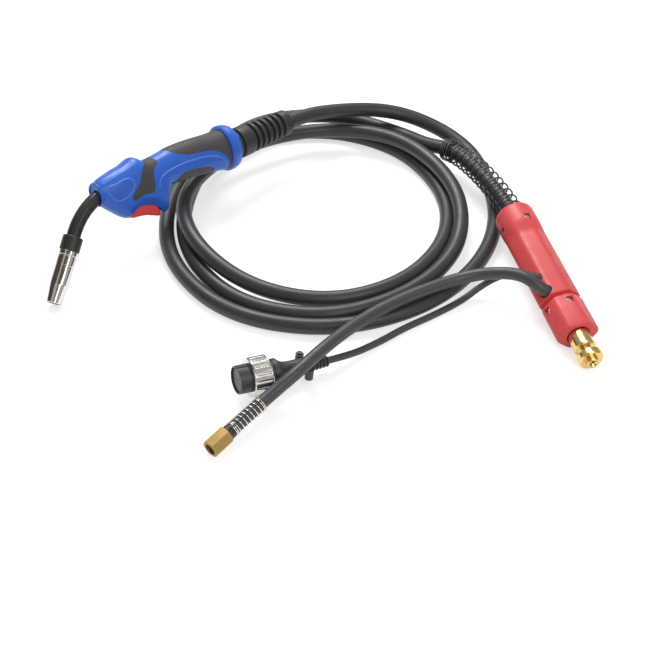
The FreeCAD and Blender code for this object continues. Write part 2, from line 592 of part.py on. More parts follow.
def trigger_pieces():
    """Red trigger on its pin, and the switch that it presses."""
    points = [V(x, -TRIGGER_HALF, z) for x, z in TRIGGER_OUTLINE]
    curve = Part.BSplineCurve()
    curve.interpolate(Points=points, PeriodicFlag=True)
    trigger = Part.Face(Part.Wire([curve.toShape()])).extrude(V(0, 2 * TRIGGER_HALF, 0))
    x, z = TRIGGER_PIVOT
    trigger = trigger.cut(pin(x, z, PIN_R + RUN_GAP, -PIN_HALF, PIN_HALF))
    export("trigger", trigger, HANDLE)
    export("trigger_pin", pin(x, z, PIN_R, -PIN_HALF, PIN_HALF), HANDLE)
    x0, x1 = BULKHEADS[0][1], BULKHEADS[1][0]
    switch = block(x0, x1, -SWITCH_HALF, SWITCH_HALF, SWITCH_LOW, SWITCH_HIGH)
    hole = Part.makeCylinder(PLUNGER_R + RUN_GAP, PLUNGER_ROOM - SWITCH_LOW + 1,
                             V(PLUNGER_X, 0, SWITCH_LOW - 1), V(0, 0, 1))
    export("microswitch", switch.cut(hole), HANDLE)
    plunger = Part.makeCylinder(PLUNGER_R, PLUNGER_HIGH - PLUNGER_LOW,
                                V(PLUNGER_X, 0, PLUNGER_LOW), V(0, 0, 1))
    export("switch_plunger", plunger, HANDLE)


def sleeve_pieces():
    """Swivel ball and the ribbed kink sleeve on its tail."""
    bore = CABLE_R + CABLE_GAP
    ball = Part.makeSphere(BALL_R).cut(block(-2 * BALL_R, BALL_FRONT, -BALL_R, BALL_R,
                                             -BALL_R, BALL_R))
    ball = ball.fuse([rod(0, BALL_NECK_END, BALL_NECK_R),
                      rod(0, BALL_TAIL_END, BALL_TAIL_R)])
    flare = Part.makeCone(bore + 2, bore, BALL_R + 1, V(-BALL_R, 0, 0), V(1, 0, 0))
    ball = ball.cut([flare, rod(0, BALL_TAIL_END + 1, bore)])
    export("swivel_ball", ball, SLEEVE)
    outline = [(SLEEVE_START, BALL_TAIL_R + SEAT_GAP), (SLEEVE_START, SLEEVE_R - 1.5),
               (SLEEVE_START + 1.5, SLEEVE_R), (SLEEVE_PLAIN, SLEEVE_R - 0.4)]
    outline += ribs(SLEEVE_PLAIN, SLEEVE_RIBS_END, SLEEVE_RIBS, SLEEVE_R - 0.5,
                    SLEEVE_END_R + 0.4, SLEEVE_GROOVE)
    outline += [(SLEEVE_RIBS_END, SLEEVE_END_R - 2), (SLEEVE_RIBS_END + 2.6, SLEEVE_END_R - 2),
                (SLEEVE_RIBS_END + 3.2, SLEEVE_END_R), (SLEEVE_END - 1, SLEEVE_END_R),
                (SLEEVE_END, SLEEVE_END_R - 1), (SLEEVE_END, bore), (BALL_TAIL_END, bore),
                (BALL_TAIL_END, BALL_TAIL_R + SEAT_GAP)]
    export("kink_sleeve", turned(outline), SLEEVE)


def spring_axis():
    """Start, heading, cross direction, radius and length of the cable spring's axis."""
    start = ADAPTOR.multVec(V(POCKET_DEPTH - SPRING_WIRE_R - OPEN_GAP, 0, 0))
    heading = ADAPTOR.Rotation.multVec(V(-1, 0, 0))
    chord = SPRING_END - ORIGIN - start
    half = chord.getAngle(heading)
    arc_r = chord.Length / (2 * math.sin(half))
    inward = (chord - heading * chord.dot(heading)).normalize()
    return start, heading, inward, arc_r, 2 * half * arc_r


def cable_points():
    """The cable's route from the handle's connector to the adaptor's block."""
    points = [HANDLE.multVec(V(CONNECTOR_END, 0, 0)), HANDLE.multVec(V(BALL_X, 0, 0)),
              SLEEVE.multVec(V(SLEEVE_REACH, 0, 0))]
    points += [p - ORIGIN for p in LEAD_POINTS]
    reach = 1 / math.cos(math.radians(LOOP_STEP / 2))
    for k, (radius, height) in enumerate(TURNS):
        angle = math.radians(LOOP_FIRST - LOOP_STEP * k)
        points.append(LOOP_CENTRE - ORIGIN + V(radius * reach * math.cos(angle),
                                               radius * reach * math.sin(angle), height))
    points += [p - ORIGIN for p in TAIL_POINTS]
    start, heading, inward, arc_r, length = spring_axis()
    angle = CABLE_BEND_SHARE * length / arc_r
    points.append(start + heading * (arc_r * math.sin(angle))
                  + inward * (arc_r * (1 - math.cos(angle)) - CABLE_BEND_OUT))
    points.append(ADAPTOR.multVec(V(-CABLE_STRAIGHT, 0, 0)))
    points.append(ADAPTOR.multVec(V(BLOCK_START, 0, 0)))
    return points


def cable_pieces():
    """The main cable in three stretches, and the spring at the adaptor."""
    points = cable_points()
    loops_first = 3 + len(LEAD_POINTS)
    loops_last = loops_first + len(TURNS) - 1
    export("cable_lead", cord(points, CABLE_R, 1, loops_first - 1))
    export("cable_loops", cord(points, CABLE_R, loops_first, loops_last))
    export("cable_tail", cord(points, CABLE_R, loops_last + 1))
    start, heading, inward, arc_r, length = spring_axis()
    across = heading.cross(inward)

    def axis(s):
        angle = s / arc_r
        ahead = heading * math.cos(angle) + inward * math.sin(angle)
        point = start + heading * (arc_r * math.sin(angle)) + inward * (arc_r
                                                                       * (1 - math.cos(angle)))
        return point, across, ahead.cross(across) * -1

    coil = spring(axis, length, SPRING_R, SPRING_WIRE_R, SPRING_CLOSED, SPRING_OPEN,
                  "cable_spring")
    export("cable_spring", coil)


def adaptor_section(inset):
    """Eight-sided section of the adaptor, drawn in by an inset."""
    half, flat = ADAPTOR_HALF - inset, ADAPTOR_FLAT
    rise, top = ADAPTOR_RISE - inset, ADAPTOR_TOP
    corners = ((half, flat), (top, rise), (-top, rise), (-half, flat), (-half, -flat),
               (-top, -rise), (top, -rise), (half, -flat))
    points = [V(0, y, z) for y, z in corners]
    face = Part.Face(Part.makePolygon(points + points[:1]))
    face.rotate(V(0, 0, 0), V(1, 0, 0), SECTION_ROLL)
    return face


def adaptor_bar(x0, x1, inset, rounding):
    """Length of the adaptor's section with rounded long edges."""
    face = adaptor_section(inset)
    face.translate(V(x0, 0, 0))
    bar = face.extrude(V(x1 - x0, 0, 0))
    long_edges = [e for e in bar.Edges if e.Length > 0.99 * (x1 - x0)
                  and abs(e.tangentAt(e.FirstParameter).x) > 0.99]
    return bar.makeFillet(rounding, long_edges)


def exit_point(port, heading, distance):
    """Point in the layout at a distance out of a port in the adaptor's side."""
    return ADAPTOR.multVec(port + V(heading).normalize() * distance)


def port_bore(port, heading, radius):
    """Round hole in the adaptor's side along a port's heading."""
    out = V(heading).normalize()
    return Part.makeCylinder(radius, PORT_DEPTH + 20, port - out * PORT_DEPTH, out)


def adaptor_pieces():
    """Housing, its nose and screws, the spring's holder, the brass block, plug and inlet."""
    body = adaptor_bar(COLLAR_TUBE_END - 10, GROOVE_X, 0, ADAPTOR_EDGE_R)
    collar = turned(((0, 0), (0, 19.5), (1.5, 21.6), (5, COLLAR_TUBE_R),
                     (COLLAR_TUBE_END, COLLAR_TUBE_R),
                     (COLLAR_CONE_END, ADAPTOR_RISE - 1), (COLLAR_CONE_END, 0)))
    nose = adaptor_bar(GROOVE_X + GROOVE_WIDTH, ADAPTOR_END, 0, ADAPTOR_EDGE_R)
    tongue = adaptor_bar(GROOVE_X, GROOVE_X + GROOVE_WIDTH + 1, GROOVE_DEPTH, ADAPTOR_EDGE_R)
    screw_up = HOLDER_RING_R + 30
    tools = [rod(-1, POCKET_DEPTH, HOLDER_RING_R + SEAT_GAP),
             rod(0, BLOCK_START, CABLE_R + CABLE_GAP),
             rod(BLOCK_START, ADAPTOR_END + 1, BLOCK_R + SEAT_GAP),
             port_bore(GAS_PORT, GAS_EXIT, HOSE_R + OPEN_GAP),
             port_bore(LEAD_PORT, LEAD_EXIT, CONTROL_R + OPEN_GAP)]
    screws = []
    for x in ADAPTOR_SCREWS:
        hole = Part.makeCylinder(ADAPTOR_SCREW_R + SEAT_GAP, screw_up, V(x, 0, 0), V(0, 0, 1))
        recess = block(x - RECESS_LENGTH / 2, x + RECESS_LENGTH / 2, -RECESS_WIDTH / 2,
                       RECESS_WIDTH / 2, SCREW_SEAT, screw_up)
        angle = ADAPTOR_SCREW_ANGLE
        tools += around_x(hole, 4, -angle) + around_x(recess, 4, -angle)
        shank = Part.makeCylinder(ADAPTOR_SCREW_R, SCREW_SEAT - BLOCK_R + 3,
                                  V(x, 0, BLOCK_R - 3), V(0, 0, 1))
        head = Part.makeCylinder(ADAPTOR_SCREW_HEAD_R, 2.2, V(x, 0, SCREW_SEAT), V(0, 0, 1))
        screws += around_x(shank.fuse(head), 4, -angle)
    export("housing_body", body.fuse(collar).cut(tools), ADAPTOR)
    export("housing_nose", nose.fuse(tongue).cut(tools), ADAPTOR)
    export("housing_screws", Part.makeCompound(screws), ADAPTOR)
    holder = turned(((0, HOLDER_RING_BORE_R), (0, HOLDER_RING_R), (POCKET_DEPTH, HOLDER_RING_R),
                     (POCKET_DEPTH, HOLDER_RING_BORE_R)))
    export("spring_holder", holder, ADAPTOR)

    thread_holes = []
    for x in ADAPTOR_SCREWS:
        hole = Part.makeCylinder(ADAPTOR_SCREW_R + SEAT_GAP, BLOCK_R, V(x, 0, BLOCK_R - 3 - 1),
                                 V(0, 0, 1))
        thread_holes += around_x(hole, 4, -ADAPTOR_SCREW_ANGLE)
    power = rod(BLOCK_START, BLOCK_END, BLOCK_R).cut(rod(BLOCK_END - LINER_REACH, BLOCK_END + 1,
                                                         LINER_BORE_R))
    sockets = [port_bore(GAS_PORT, GAS_EXIT, HOSE_R + OPEN_GAP),
               port_bore(LEAD_PORT, LEAD_EXIT, CONTROL_R + OPEN_GAP)]
    export("power_block", power.cut(thread_holes + sockets), ADAPTOR)
    neck_x = ADAPTOR_END + PLUG_LENGTH
    disc_x = neck_x + PLUG_NECK
    disc_end = disc_x + PLUG_DISC
    shank_x = disc_end - INLET_SHANK
    shank_room = INLET_SHANK_R + SEAT_GAP
    plug = turned(((BLOCK_END, LINER_BORE_R), (BLOCK_END, BLOCK_R), (ADAPTOR_END, BLOCK_R),
                   (ADAPTOR_END, PLUG_R - PLUG_EDGE), (ADAPTOR_END + PLUG_EDGE, PLUG_R),
                   (neck_x - PLUG_SHOULDER, PLUG_R), (neck_x, PLUG_R - PLUG_SHOULDER),
                   (neck_x, PLUG_NECK_R + 3.4), (neck_x + 2.2, PLUG_NECK_R),
                   (disc_x - 1.2, PLUG_NECK_R), (disc_x, PLUG_NECK_R + 2.6),
                   (disc_x, PLUG_DISC_R - PLUG_DISC_EDGE), (disc_x + PLUG_DISC_EDGE, PLUG_DISC_R),
                   (disc_end - PLUG_SHOULDER, PLUG_DISC_R),
                   (disc_end, PLUG_DISC_R - PLUG_SHOULDER), (disc_end, shank_room),
                   (shank_x, shank_room), (shank_x, LINER_BORE_R)))
    export("plug_body", plug.cut(thread_holes), ADAPTOR)
    inlet_end = disc_end + INLET_LENGTH
    mouth_x = inlet_end - INLET_MOUTH_DEPTH
    inlet = turned(((shank_x, INLET_BORE_R), (shank_x, INLET_SHANK_R), (disc_end, INLET_SHANK_R),
                    (disc_end, INLET_R), (inlet_end - INLET_EDGE, INLET_R),
                    (inlet_end, INLET_R - INLET_EDGE), (inlet_end, INLET_MOUTH_R),
                    (mouth_x, INLET_BORE_R + 0.4), (mouth_x, INLET_BORE_R)))
    export("inlet_nut", inlet, ADAPTOR)


def gas_pieces():
    """Gas hose with its wire spring, spigot, ferrule and hexagon nut."""
    tail_x = NUT_LENGTH + SEAT_GAP + FERRULE_LENGTH
    points = [exit_point(GAS_PORT, GAS_EXIT, -PORT_DEPTH), exit_point(GAS_PORT, GAS_EXIT, HOSE_OUT)]
    points += [p - ORIGIN for p in HOSE_POINTS]
    points += [FITTING.multVec(V(HOSE_STRAIGHT, 0, 0)), FITTING.multVec(V(tail_x, 0, 0))]
    export("gas_hose", cord(points, HOSE_R))
    apothem = NUT_ACROSS / 2
    corner = apothem / math.cos(math.radians(30))
    corners = [V(0, corner * math.sin(math.radians(60 * k + 30)),
                 corner * math.cos(math.radians(60 * k + 30))) for k in range(6)]
    prism = Part.Face(Part.makePolygon(corners + corners[:1])).extrude(V(NUT_LENGTH, 0, 0))
    rounding = turned(((0, 0), (0, apothem - 0.2), (NUT_CHAMFER, corner + 0.1),
                       (NUT_LENGTH - NUT_CHAMFER, corner + 0.1), (NUT_LENGTH, apothem - 0.2),
                       (NUT_LENGTH, 0)))
    stem_bore = STEM_R + RUN_GAP
    nut = prism.common(rounding).cut([rod(-1, NUT_THREAD_LENGTH + 1, NUT_THREAD_R),
                                      rod(NUT_THREAD_LENGTH, NUT_SEAT_END, NUT_SEAT_R),
                                      rod(0, NUT_LENGTH + 1, stem_bore)])
    export("gas_nut", nut, FITTING)
    head_x = NUT_SEAT_END - STEM_HEAD - RUN_GAP
    spigot = turned(((head_x, STEM_BORE_R), (head_x, STEM_HEAD_R - 2.2),
                     (head_x + 2.2, STEM_HEAD_R), (head_x + STEM_HEAD, STEM_HEAD_R),
                     (head_x + STEM_HEAD, STEM_R), (tail_x, STEM_R), (tail_x, STEM_BORE_R)))
    export("gas_spigot", spigot, FITTING)
    ferrule_x = NUT_LENGTH + SEAT_GAP
    ferrule = turned(((ferrule_x, STEM_R + SEAT_GAP), (ferrule_x, FERRULE_R - 0.5),
                      (ferrule_x + 0.5, FERRULE_R), (tail_x - 0.5, FERRULE_R),
                      (tail_x, FERRULE_R - 0.5), (tail_x, STEM_R + SEAT_GAP)))
    export("gas_ferrule", ferrule, FITTING)
    start = FITTING.multVec(V(tail_x + HOSE_SPRING_WIRE_R + SEAT_GAP, 0, 0))
    along = FITTING.Rotation.multVec(V(1, 0, 0))
    side = FITTING.Rotation.multVec(V(0, 1, 0))
    up = FITTING.Rotation.multVec(V(0, 0, 1))
    coil = spring(lambda s: (start + along * s, side, up), HOSE_SPRING_LENGTH, HOSE_SPRING_R,
                  HOSE_SPRING_WIRE_R, HOSE_SPRING_CLOSED, HOSE_SPRING_OPEN, "gas_hose_spring")
    export("gas_hose_spring", coil)


def control_pieces():
    """Control lead with its plug: barrel, contacts, coupling ring, backshell, clamp, boot."""
    points = [exit_point(LEAD_PORT, LEAD_EXIT, -PORT_DEPTH),
              exit_point(LEAD_PORT, LEAD_EXIT, LEAD_OUT)]
    points += [p - ORIGIN for p in LEAD_FLOOR]
    points += [PLUG.multVec(V(BOOT_END + 22, 0, 0)), PLUG.multVec(V(BACKSHELL_END, 0, 0))]
    export("control_lead", cord(points, CONTROL_R))
    inner = BARREL_R - BARREL_WALL
    barrel = turned(((0, inner), (0, BARREL_R - 0.5), (0.5, BARREL_R),
                     (BARREL_NECK_START, BARREL_R), (BARREL_NECK_START, BARREL_NECK_R),
                     (BARREL_END, BARREL_NECK_R), (BARREL_END, inner)))
    key = block(-1, RING_START - 1, -2, 2, BARREL_R - 1, BARREL_R + 1)
    export("plug_barrel", barrel.cut(key), PLUG)
    insert = rod(INSERT_FACE, BARREL_END, inner - SEAT_GAP)
    hole = rod(INSERT_FACE - 1, BARREL_END - 10, CONTACT_PIN_R + SEAT_GAP, 0, CONTACT_CIRCLE_R)
    export("contact_insert", insert.cut(around_x(hole, CONTACT_PINS)), PLUG)
    socket = rod(INSERT_FACE, BARREL_END - 10, CONTACT_PIN_R, 0, CONTACT_CIRCLE_R)
    socket = socket.cut(rod(INSERT_FACE - 1, BARREL_END - 16, CONTACT_PIN_BORE_R, 0,
                            CONTACT_CIRCLE_R))
    export("contact_pins", Part.makeCompound(around_x(socket, CONTACT_PINS)), PLUG)
    ring_bore = BARREL_NECK_R + RUN_GAP
    ring = turned(((RING_START, ring_bore), (RING_START, RING_R - 1),
                   (RING_START + 1, RING_R), (RING_END - 1, RING_R), (RING_END, RING_R - 1),
                   (RING_END, ring_bore)))
    scallop = rod(RING_START + RING_RIM, RING_END - RING_RIM, SCALLOP_R, 0,
                  RING_R + SCALLOP_R - SCALLOP_DEPTH)
    export("coupling_ring", ring.cut(around_x(scallop, RING_SCALLOPS)), PLUG)
    bore = CONTROL_R + SEAT_GAP
    shell = turned(((BARREL_END, 0), (BARREL_END, BACKSHELL_R - 0.6),
                    (BARREL_END + 0.6, BACKSHELL_R), (BARREL_END + 3, BACKSHELL_R),
                    (BARREL_END + 3, BACKSHELL_R - 0.9), (BARREL_END + 4.2, BACKSHELL_R - 0.9),
                    (BARREL_END + 4.2, BACKSHELL_R), (BARREL_END + 9, BACKSHELL_R),
                    (BARREL_END + 10.5, BACKSHELL_R - 1.2), (BARREL_END + 14, 10.6),
                    (BARREL_END + 18, BACKSHELL_NECK_R + 0.4),
                    (BARREL_END + 23, BACKSHELL_NECK_R), (BACKSHELL_END, CLAMP_R - 0.2),
                    (BACKSHELL_END, 0)))
    export("backshell", shell, PLUG)
    clamp_x = (BACKSHELL_END + CLAMP_END) / 2
    clamp = rod(BACKSHELL_END, CLAMP_END, CLAMP_R)
    for side in (-1, 1):
        lobe = Part.makeCylinder(CLAMP_LOBE_R, 2 * CLAMP_HALF,
                                 V(clamp_x, side * CLAMP_LOBE, -CLAMP_HALF), V(0, 0, 1))
        clamp = clamp.fuse(lobe)
    clamp = clamp.common(block(BACKSHELL_END, CLAMP_END, -30, 30, -CLAMP_R, CLAMP_R))
    bores = [rod(BACKSHELL_END - 1, CLAMP_END + 1, bore)]
    screws = []
    for side in (-1, 1):
        y = side * (CLAMP_LOBE + 0.6)
        bores.append(Part.makeCylinder(SCREW_R + SEAT_GAP, 30, V(clamp_x, y, -15), V(0, 0, 1)))
        shank = Part.makeCylinder(SCREW_R, 2 * CLAMP_HALF, V(clamp_x, y, -CLAMP_HALF),
                                  V(0, 0, 1))
        head = Part.makeCylinder(SCREW_HEAD_R, 1.6, V(clamp_x, y, CLAMP_HALF), V(0, 0, 1))
        screws.append(shank.fuse(head))
    export("cable_clamp", clamp.cut(bores), PLUG)
    export("clamp_screws", Part.makeCompound(screws), PLUG)
    outline = [(CLAMP_END, bore), (CLAMP_END, BOOT_R - 0.6)]
    outline += ribs(CLAMP_END + 1, BOOT_END, BOOT_RIBS, BOOT_R, BOOT_END_R, 1.5)
    outline += [(BOOT_END, BOOT_END_R - 1), (BOOT_END, bore)]
    export("lead_boot", turned(outline), PLUG)


os.makedirs("parts", exist_ok=True)
nozzle_pieces()
neck_pieces()
handle_pieces()
trigger_pieces()
sleeve_pieces()
cable_pieces()
adaptor_pieces()
gas_pieces()
control_pieces()
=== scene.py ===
# %% [markdown]
# # A MIG welding torch on a studio floor
# The torch has a swan neck with a chrome nozzle, a two-shell handle with soft grips and a red
# trigger, about four metres of cable in loose loops, and a red adaptor with a brass plug. A gas
# hose and a control lead leave the adaptor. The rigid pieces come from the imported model, and
# this script gives them their finish. Cords, springs, rubber pieces, the trigger and the
# adaptor's mouldings are modelled here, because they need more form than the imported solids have.

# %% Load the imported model
import math

import bmesh
import bpy
from mathutils import Matrix, Vector
from mathutils.bvhtree import BVHTree


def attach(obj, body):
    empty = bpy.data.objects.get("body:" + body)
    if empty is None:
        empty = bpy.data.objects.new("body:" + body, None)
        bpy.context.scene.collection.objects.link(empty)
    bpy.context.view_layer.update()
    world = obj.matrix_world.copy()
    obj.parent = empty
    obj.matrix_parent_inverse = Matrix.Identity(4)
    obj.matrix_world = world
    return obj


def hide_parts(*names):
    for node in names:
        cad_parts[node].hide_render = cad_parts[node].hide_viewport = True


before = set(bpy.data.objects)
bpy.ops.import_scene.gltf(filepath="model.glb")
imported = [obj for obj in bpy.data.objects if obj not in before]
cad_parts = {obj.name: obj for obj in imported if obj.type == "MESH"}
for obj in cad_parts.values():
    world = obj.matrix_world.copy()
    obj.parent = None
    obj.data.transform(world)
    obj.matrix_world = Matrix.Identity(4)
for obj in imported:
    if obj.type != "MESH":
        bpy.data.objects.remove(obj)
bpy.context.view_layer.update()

# %% [markdown]
# ## Where the assemblies lie
# Each assembly is easiest to draw along its own x axis in millimetres. A matrix then carries a
# point of that drawing to its place on the floor in metres. The points could also be worked out
# in the scene one by one, but with a matrix one list of (distance, radius) numbers describes a
# turned piece, wherever it ends up lying.

# %% Drawing frames of the assemblies
MM = 0.001
ORIGIN = Vector((-8.61, -47.66, 0.1))
LAYOUT = Matrix.Scale(MM, 4) @ Matrix.Translation(-ORIGIN)


def about(axis, degrees):
    """A turn about one axis."""
    return Matrix.Rotation(math.radians(degrees), 4, axis)


def shift(x, y=0.0, z=0.0):
    """A move, in the units of the drawing."""
    return Matrix.Translation((x, y, z))


def at(place, x, y=0.0, z=0.0):
    """A point of an assembly's drawing, in metres in the scene."""
    return place @ Vector((x, y, z))


def lying(spot, yaw, pitch, roll=0.0):
    """Frame of an assembly: its x axis turned by yaw, tipped by pitch, rolled about itself."""
    return LAYOUT @ shift(*spot) @ about("Z", yaw) @ about("Y", pitch) @ about("X", roll)


HANDLE = lying((-253.6, -46.7, 82.72), 42.4, 6.0, -26.9)
NOZZLE = HANDLE @ shift(-16) @ about("Y", 127.3)
SLEEVE = HANDLE @ shift(181) @ about("Y", -3.5)
ADAPTOR = lying((217.9, -20.0, 33.32), -76.3, 4.4)
PLUG = lying((-88.4, -285.9, 24.5), 25.3, 7.6)
FITTING = lying((-109.6, -364.9, 8.8), 49.0, -7.2)
print("handle opening at", [round(x, 3) for x in HANDLE.translation])

# %% [markdown]
# ## The camera
# The view looks down at the floor by 41 degrees from about 1.4 m away. The lens could be set by
# eye. Here it is worked out from the picture: a focal length of 1200 pixels on a frame 650
# pixels wide, on a 36 mm sensor, so that near and far forms keep their true proportion.

# %% Camera
FOCAL_PIXELS, FRAME_PIXELS, SENSOR = 1200, 650, 36.0
CAMERA_AT, CAMERA_DOWN = (0, -1150, 848.56), 41


def placed(name, data):
    """An object of a mesh, curve, lamp or camera, linked into the scene."""
    piece = bpy.data.objects.new(name, data)
    bpy.context.collection.objects.link(piece)
    return piece


lens = bpy.data.cameras.new("photo_lens")
lens.sensor_width = SENSOR
lens.lens = SENSOR * FOCAL_PIXELS / FRAME_PIXELS
camera = placed("photo_camera", lens)
camera.location = at(LAYOUT, *CAMERA_AT)
camera.rotation_euler = (math.radians(90 - CAMERA_DOWN), 0, 0)
bpy.context.scene.camera = camera
print("lens", round(lens.lens, 1), "mm")

# %% [markdown]
# ## Finishes
# A real surface is never one flat colour: moulded plastic has faint flow marks and a fine
# texture, rubber is mottled with dust, and turned metal keeps the lines of the cutting tool.
# Painted pictures could show that, but they need unwrapped pieces. Noise in the nodes works on
# any shape, so one helper builds every finish from it. Slow noise shifts the colour and the
# gloss, and fine noise makes a bump too small to see as a shape, which breaks up reflections.


# %% Helpers for shader nodes
def feed(tree, node, inputs):
    """Gives a node's inputs a number or colour, or a link from another node's output."""
    for key, value in inputs.items():
        if isinstance(value, bpy.types.NodeSocket):
            tree.links.new(value, node.inputs[key])
        else:
            node.inputs[key].default_value = value


def add(tree, kind, inputs, **settings):
    """A new node of one kind, with its settings and its inputs."""
    node = tree.nodes.new("ShaderNode" + kind)
    for name, value in settings.items():
        setattr(node, name, value)
    feed(tree, node, inputs)
    return node


def noise(tree, where, scale, detail):
    """Noise at the points where, with a scale per metre."""
    texture = add(tree, "TexNoise", {"Vector": where, "Scale": scale, "Detail": detail})
    return texture.outputs["Fac"]


def spread(tree, value, low, high, start=0.3, end=0.7):
    """The part of a value between start and end, spread from low to high."""
    scale = add(tree, "MapRange", {"Value": value, "From Min": start, "From Max": end,
                                   "To Min": low, "To Max": high})
    return scale.outputs["Result"]


def mixed(tree, share, first, second):
    """A colour between a first and a second one, by a share."""
    tint = add(tree, "Mix", {"Factor": share, "A": first, "B": second}, data_type="RGBA")
    return tint.outputs["Result"]


def shade(colour, factor):
    """A colour made darker or lighter by a factor."""
    return (*[min(1.0, part * factor) for part in colour], 1)


# %% A helper for finishes
TINT_DETAIL, GLOSS_DETAIL, GRAIN_DETAIL, DUST_DETAIL = 4.0, 5.0, 3.0, 1.0
GLOSS_SCALE, DUST_SCALE = 2.3, 0.8
DUST, DUST_SPOTS = (0.42, 0.41, 0.40, 1), (0.66, 0.74)
LATHE_SCALE, LATHE_WAVER = 1.1, 0.6
SEAM_AND_HIGHLIGHT_EDGES = (0.05, 0.16)
BUMP_HEIGHT = 0.0004


def finish(name, colour, roughness, metal=0.0, mottle=0.12, gloss_spread=0.06, grain=900.0,
           grain_depth=0.04, patch=35.0, speck=0.0, place=None, lines=0.0, soft_edge=0.0,
           seam_and_highlight_y=None, seam_and_highlight_tone=0.35):
    """A material with colour and gloss that drift, a fine grain and, if asked, turning lines.

    patch and grain are noise scales per metre. place is the frame that lines, a lathe's turning
    marks, and the y of a drawn line are measured in. That line is the colour times a factor: below
    1 a dark parting line, above 1 a painted highlight along an edge.
    """
    material = bpy.data.materials.new(name)
    material.use_nodes = True
    tree = material.node_tree
    where = add(tree, "TexCoord", {}).outputs["Object"]
    drift = spread(tree, noise(tree, where, patch, TINT_DETAIL), 0.0, 1.0)
    shown = mixed(tree, drift, shade(colour, 1 - mottle), shade(colour, 1 + mottle))
    gloss = spread(tree, noise(tree, where, patch * GLOSS_SCALE, GLOSS_DETAIL),
                   roughness - gloss_spread, roughness + gloss_spread)
    height = noise(tree, where, grain, GRAIN_DETAIL)
    if speck:
        spots = noise(tree, where, grain * DUST_SCALE, DUST_DETAIL)
        dust = spread(tree, spots, 0.0, speck, *DUST_SPOTS)
        shown = mixed(tree, dust, shown, DUST)
    if place is not None:
        spot, turn, size = place.decompose()
        drawing = add(tree, "Mapping", {"Vector": where, "Location": spot, "Scale": size,
                                        "Rotation": turn.to_euler()}, vector_type="TEXTURE")
    if lines:
        wave = add(tree, "TexWave", {"Vector": drawing.outputs["Vector"], "Scale": LATHE_SCALE,
                                     "Distortion": LATHE_WAVER},
                   wave_type="BANDS", bands_direction="X")
        both = add(tree, "Math", {0: wave.outputs["Fac"], 1: lines, 2: height},
                   operation="MULTIPLY_ADD")
        height = both.outputs["Value"]
    # A line at one y of the frame: darker for a parting line, lighter for a painted highlight.
    if seam_and_highlight_y is not None:
        axes = add(tree, "SeparateXYZ", {"Vector": drawing.outputs["Vector"]})
        off = add(tree, "Math", {0: axes.outputs["Y"], 1: seam_and_highlight_y}, operation="SUBTRACT")
        away = add(tree, "Math", {0: off.outputs["Value"]}, operation="ABSOLUTE")
        seam_and_highlight_mask = spread(tree, away.outputs["Value"], 0.0, 1.0, *SEAM_AND_HIGHLIGHT_EDGES)
        shown = mixed(tree, seam_and_highlight_mask, shade(colour, seam_and_highlight_tone), shown)
    bump = add(tree, "Bump", {"Height": height, "Strength": grain_depth,
                              "Distance": BUMP_HEIGHT})
    if soft_edge:
        rounded = add(tree, "Bevel", {"Radius": soft_edge * MM}, samples=6)
        feed(tree, bump, {"Normal": rounded.outputs["Normal"]})
    feed(tree, tree.nodes["Principled BSDF"], {"Base Color": shown, "Metallic": metal,
                                               "Roughness": gloss,
                                               "Normal": bump.outputs["Normal"]})
    return material


# %% The torch's finishes
cable_skin = finish("cable_rubber", (0.036, 0.034, 0.037), 0.41, mottle=0.10, grain=1400,
                    grain_depth=0.10, patch=22, speck=0.10)
hose_skin = finish("hose_rubber", (0.052, 0.049, 0.054), 0.43, mottle=0.08, grain=1500,
                   grain_depth=0.08, patch=30, speck=0.06)
soft_rubber = finish("kink_rubber", (0.030, 0.029, 0.030), 0.48, grain=1100, grain_depth=0.12)
grip_skin = finish("grip_rubber", (0.056, 0.050, 0.052), 0.62, mottle=0.08, grain=1300,
                   grain_depth=0.22, soft_edge=0.5)
neck_skin = finish("neck_black", (0.026, 0.025, 0.027), 0.27, mottle=0.1, grain_depth=0.03,
                   gloss_spread=0.08)
band_skin = finish("band_black", (0.026, 0.025, 0.026), 0.42, grain_depth=0.12, soft_edge=0.3)
blue_shell = finish("blue_shell", (0.024, 0.125, 0.60), 0.36, mottle=0.06, grain=1600,
                    grain_depth=0.06, place=HANDLE, seam_and_highlight_y=0.0, soft_edge=0.5)
# The beads take a lighter copy of the shell's blue: painted highlight along the raised lines.
blue_bead_highlight = finish("blue_bead_highlight", (0.065, 0.23, 0.78), 0.30, mottle=0.04, grain_depth=0.03)
# The light line at y -14 on the red shell is a painted highlight along a facet edge.
red_shell = finish("red_shell", (0.67, 0.066, 0.070), 0.44, mottle=0.05, grain=1500,
                   grain_depth=0.10, place=ADAPTOR, seam_and_highlight_y=-14.0, seam_and_highlight_tone=1.5)
red_trigger = finish("red_trigger", (0.74, 0.060, 0.062), 0.35, mottle=0.05, grain_depth=0.05)
plug_black = finish("plug_black", (0.048, 0.047, 0.050), 0.40, grain=1300, grain_depth=0.14,
                    soft_edge=0.3)
chrome = finish("chrome", (0.74, 0.71, 0.68), 0.10, metal=1.0, mottle=0.04, gloss_spread=0.04,
                grain_depth=0.01, place=NOZZLE, lines=0.25, soft_edge=0.25)
ring_chrome = finish("ring_chrome", (0.70, 0.675, 0.63), 0.16, metal=1.0, mottle=0.05,
                     grain_depth=0.02, soft_edge=0.3)
brass = finish("turned_brass", (0.74, 0.52, 0.21), 0.20, metal=1.0, mottle=0.06,
               gloss_spread=0.05, grain_depth=0.02, place=ADAPTOR, lines=0.35, soft_edge=0.3)
nut_brass = finish("nut_brass", (0.46, 0.315, 0.115), 0.62, metal=1.0, mottle=0.09,
                   gloss_spread=0.06, grain_depth=0.08, soft_edge=0.35)
copper = finish("contact_copper", (0.72, 0.36, 0.20), 0.26, metal=1.0, grain_depth=0.02)
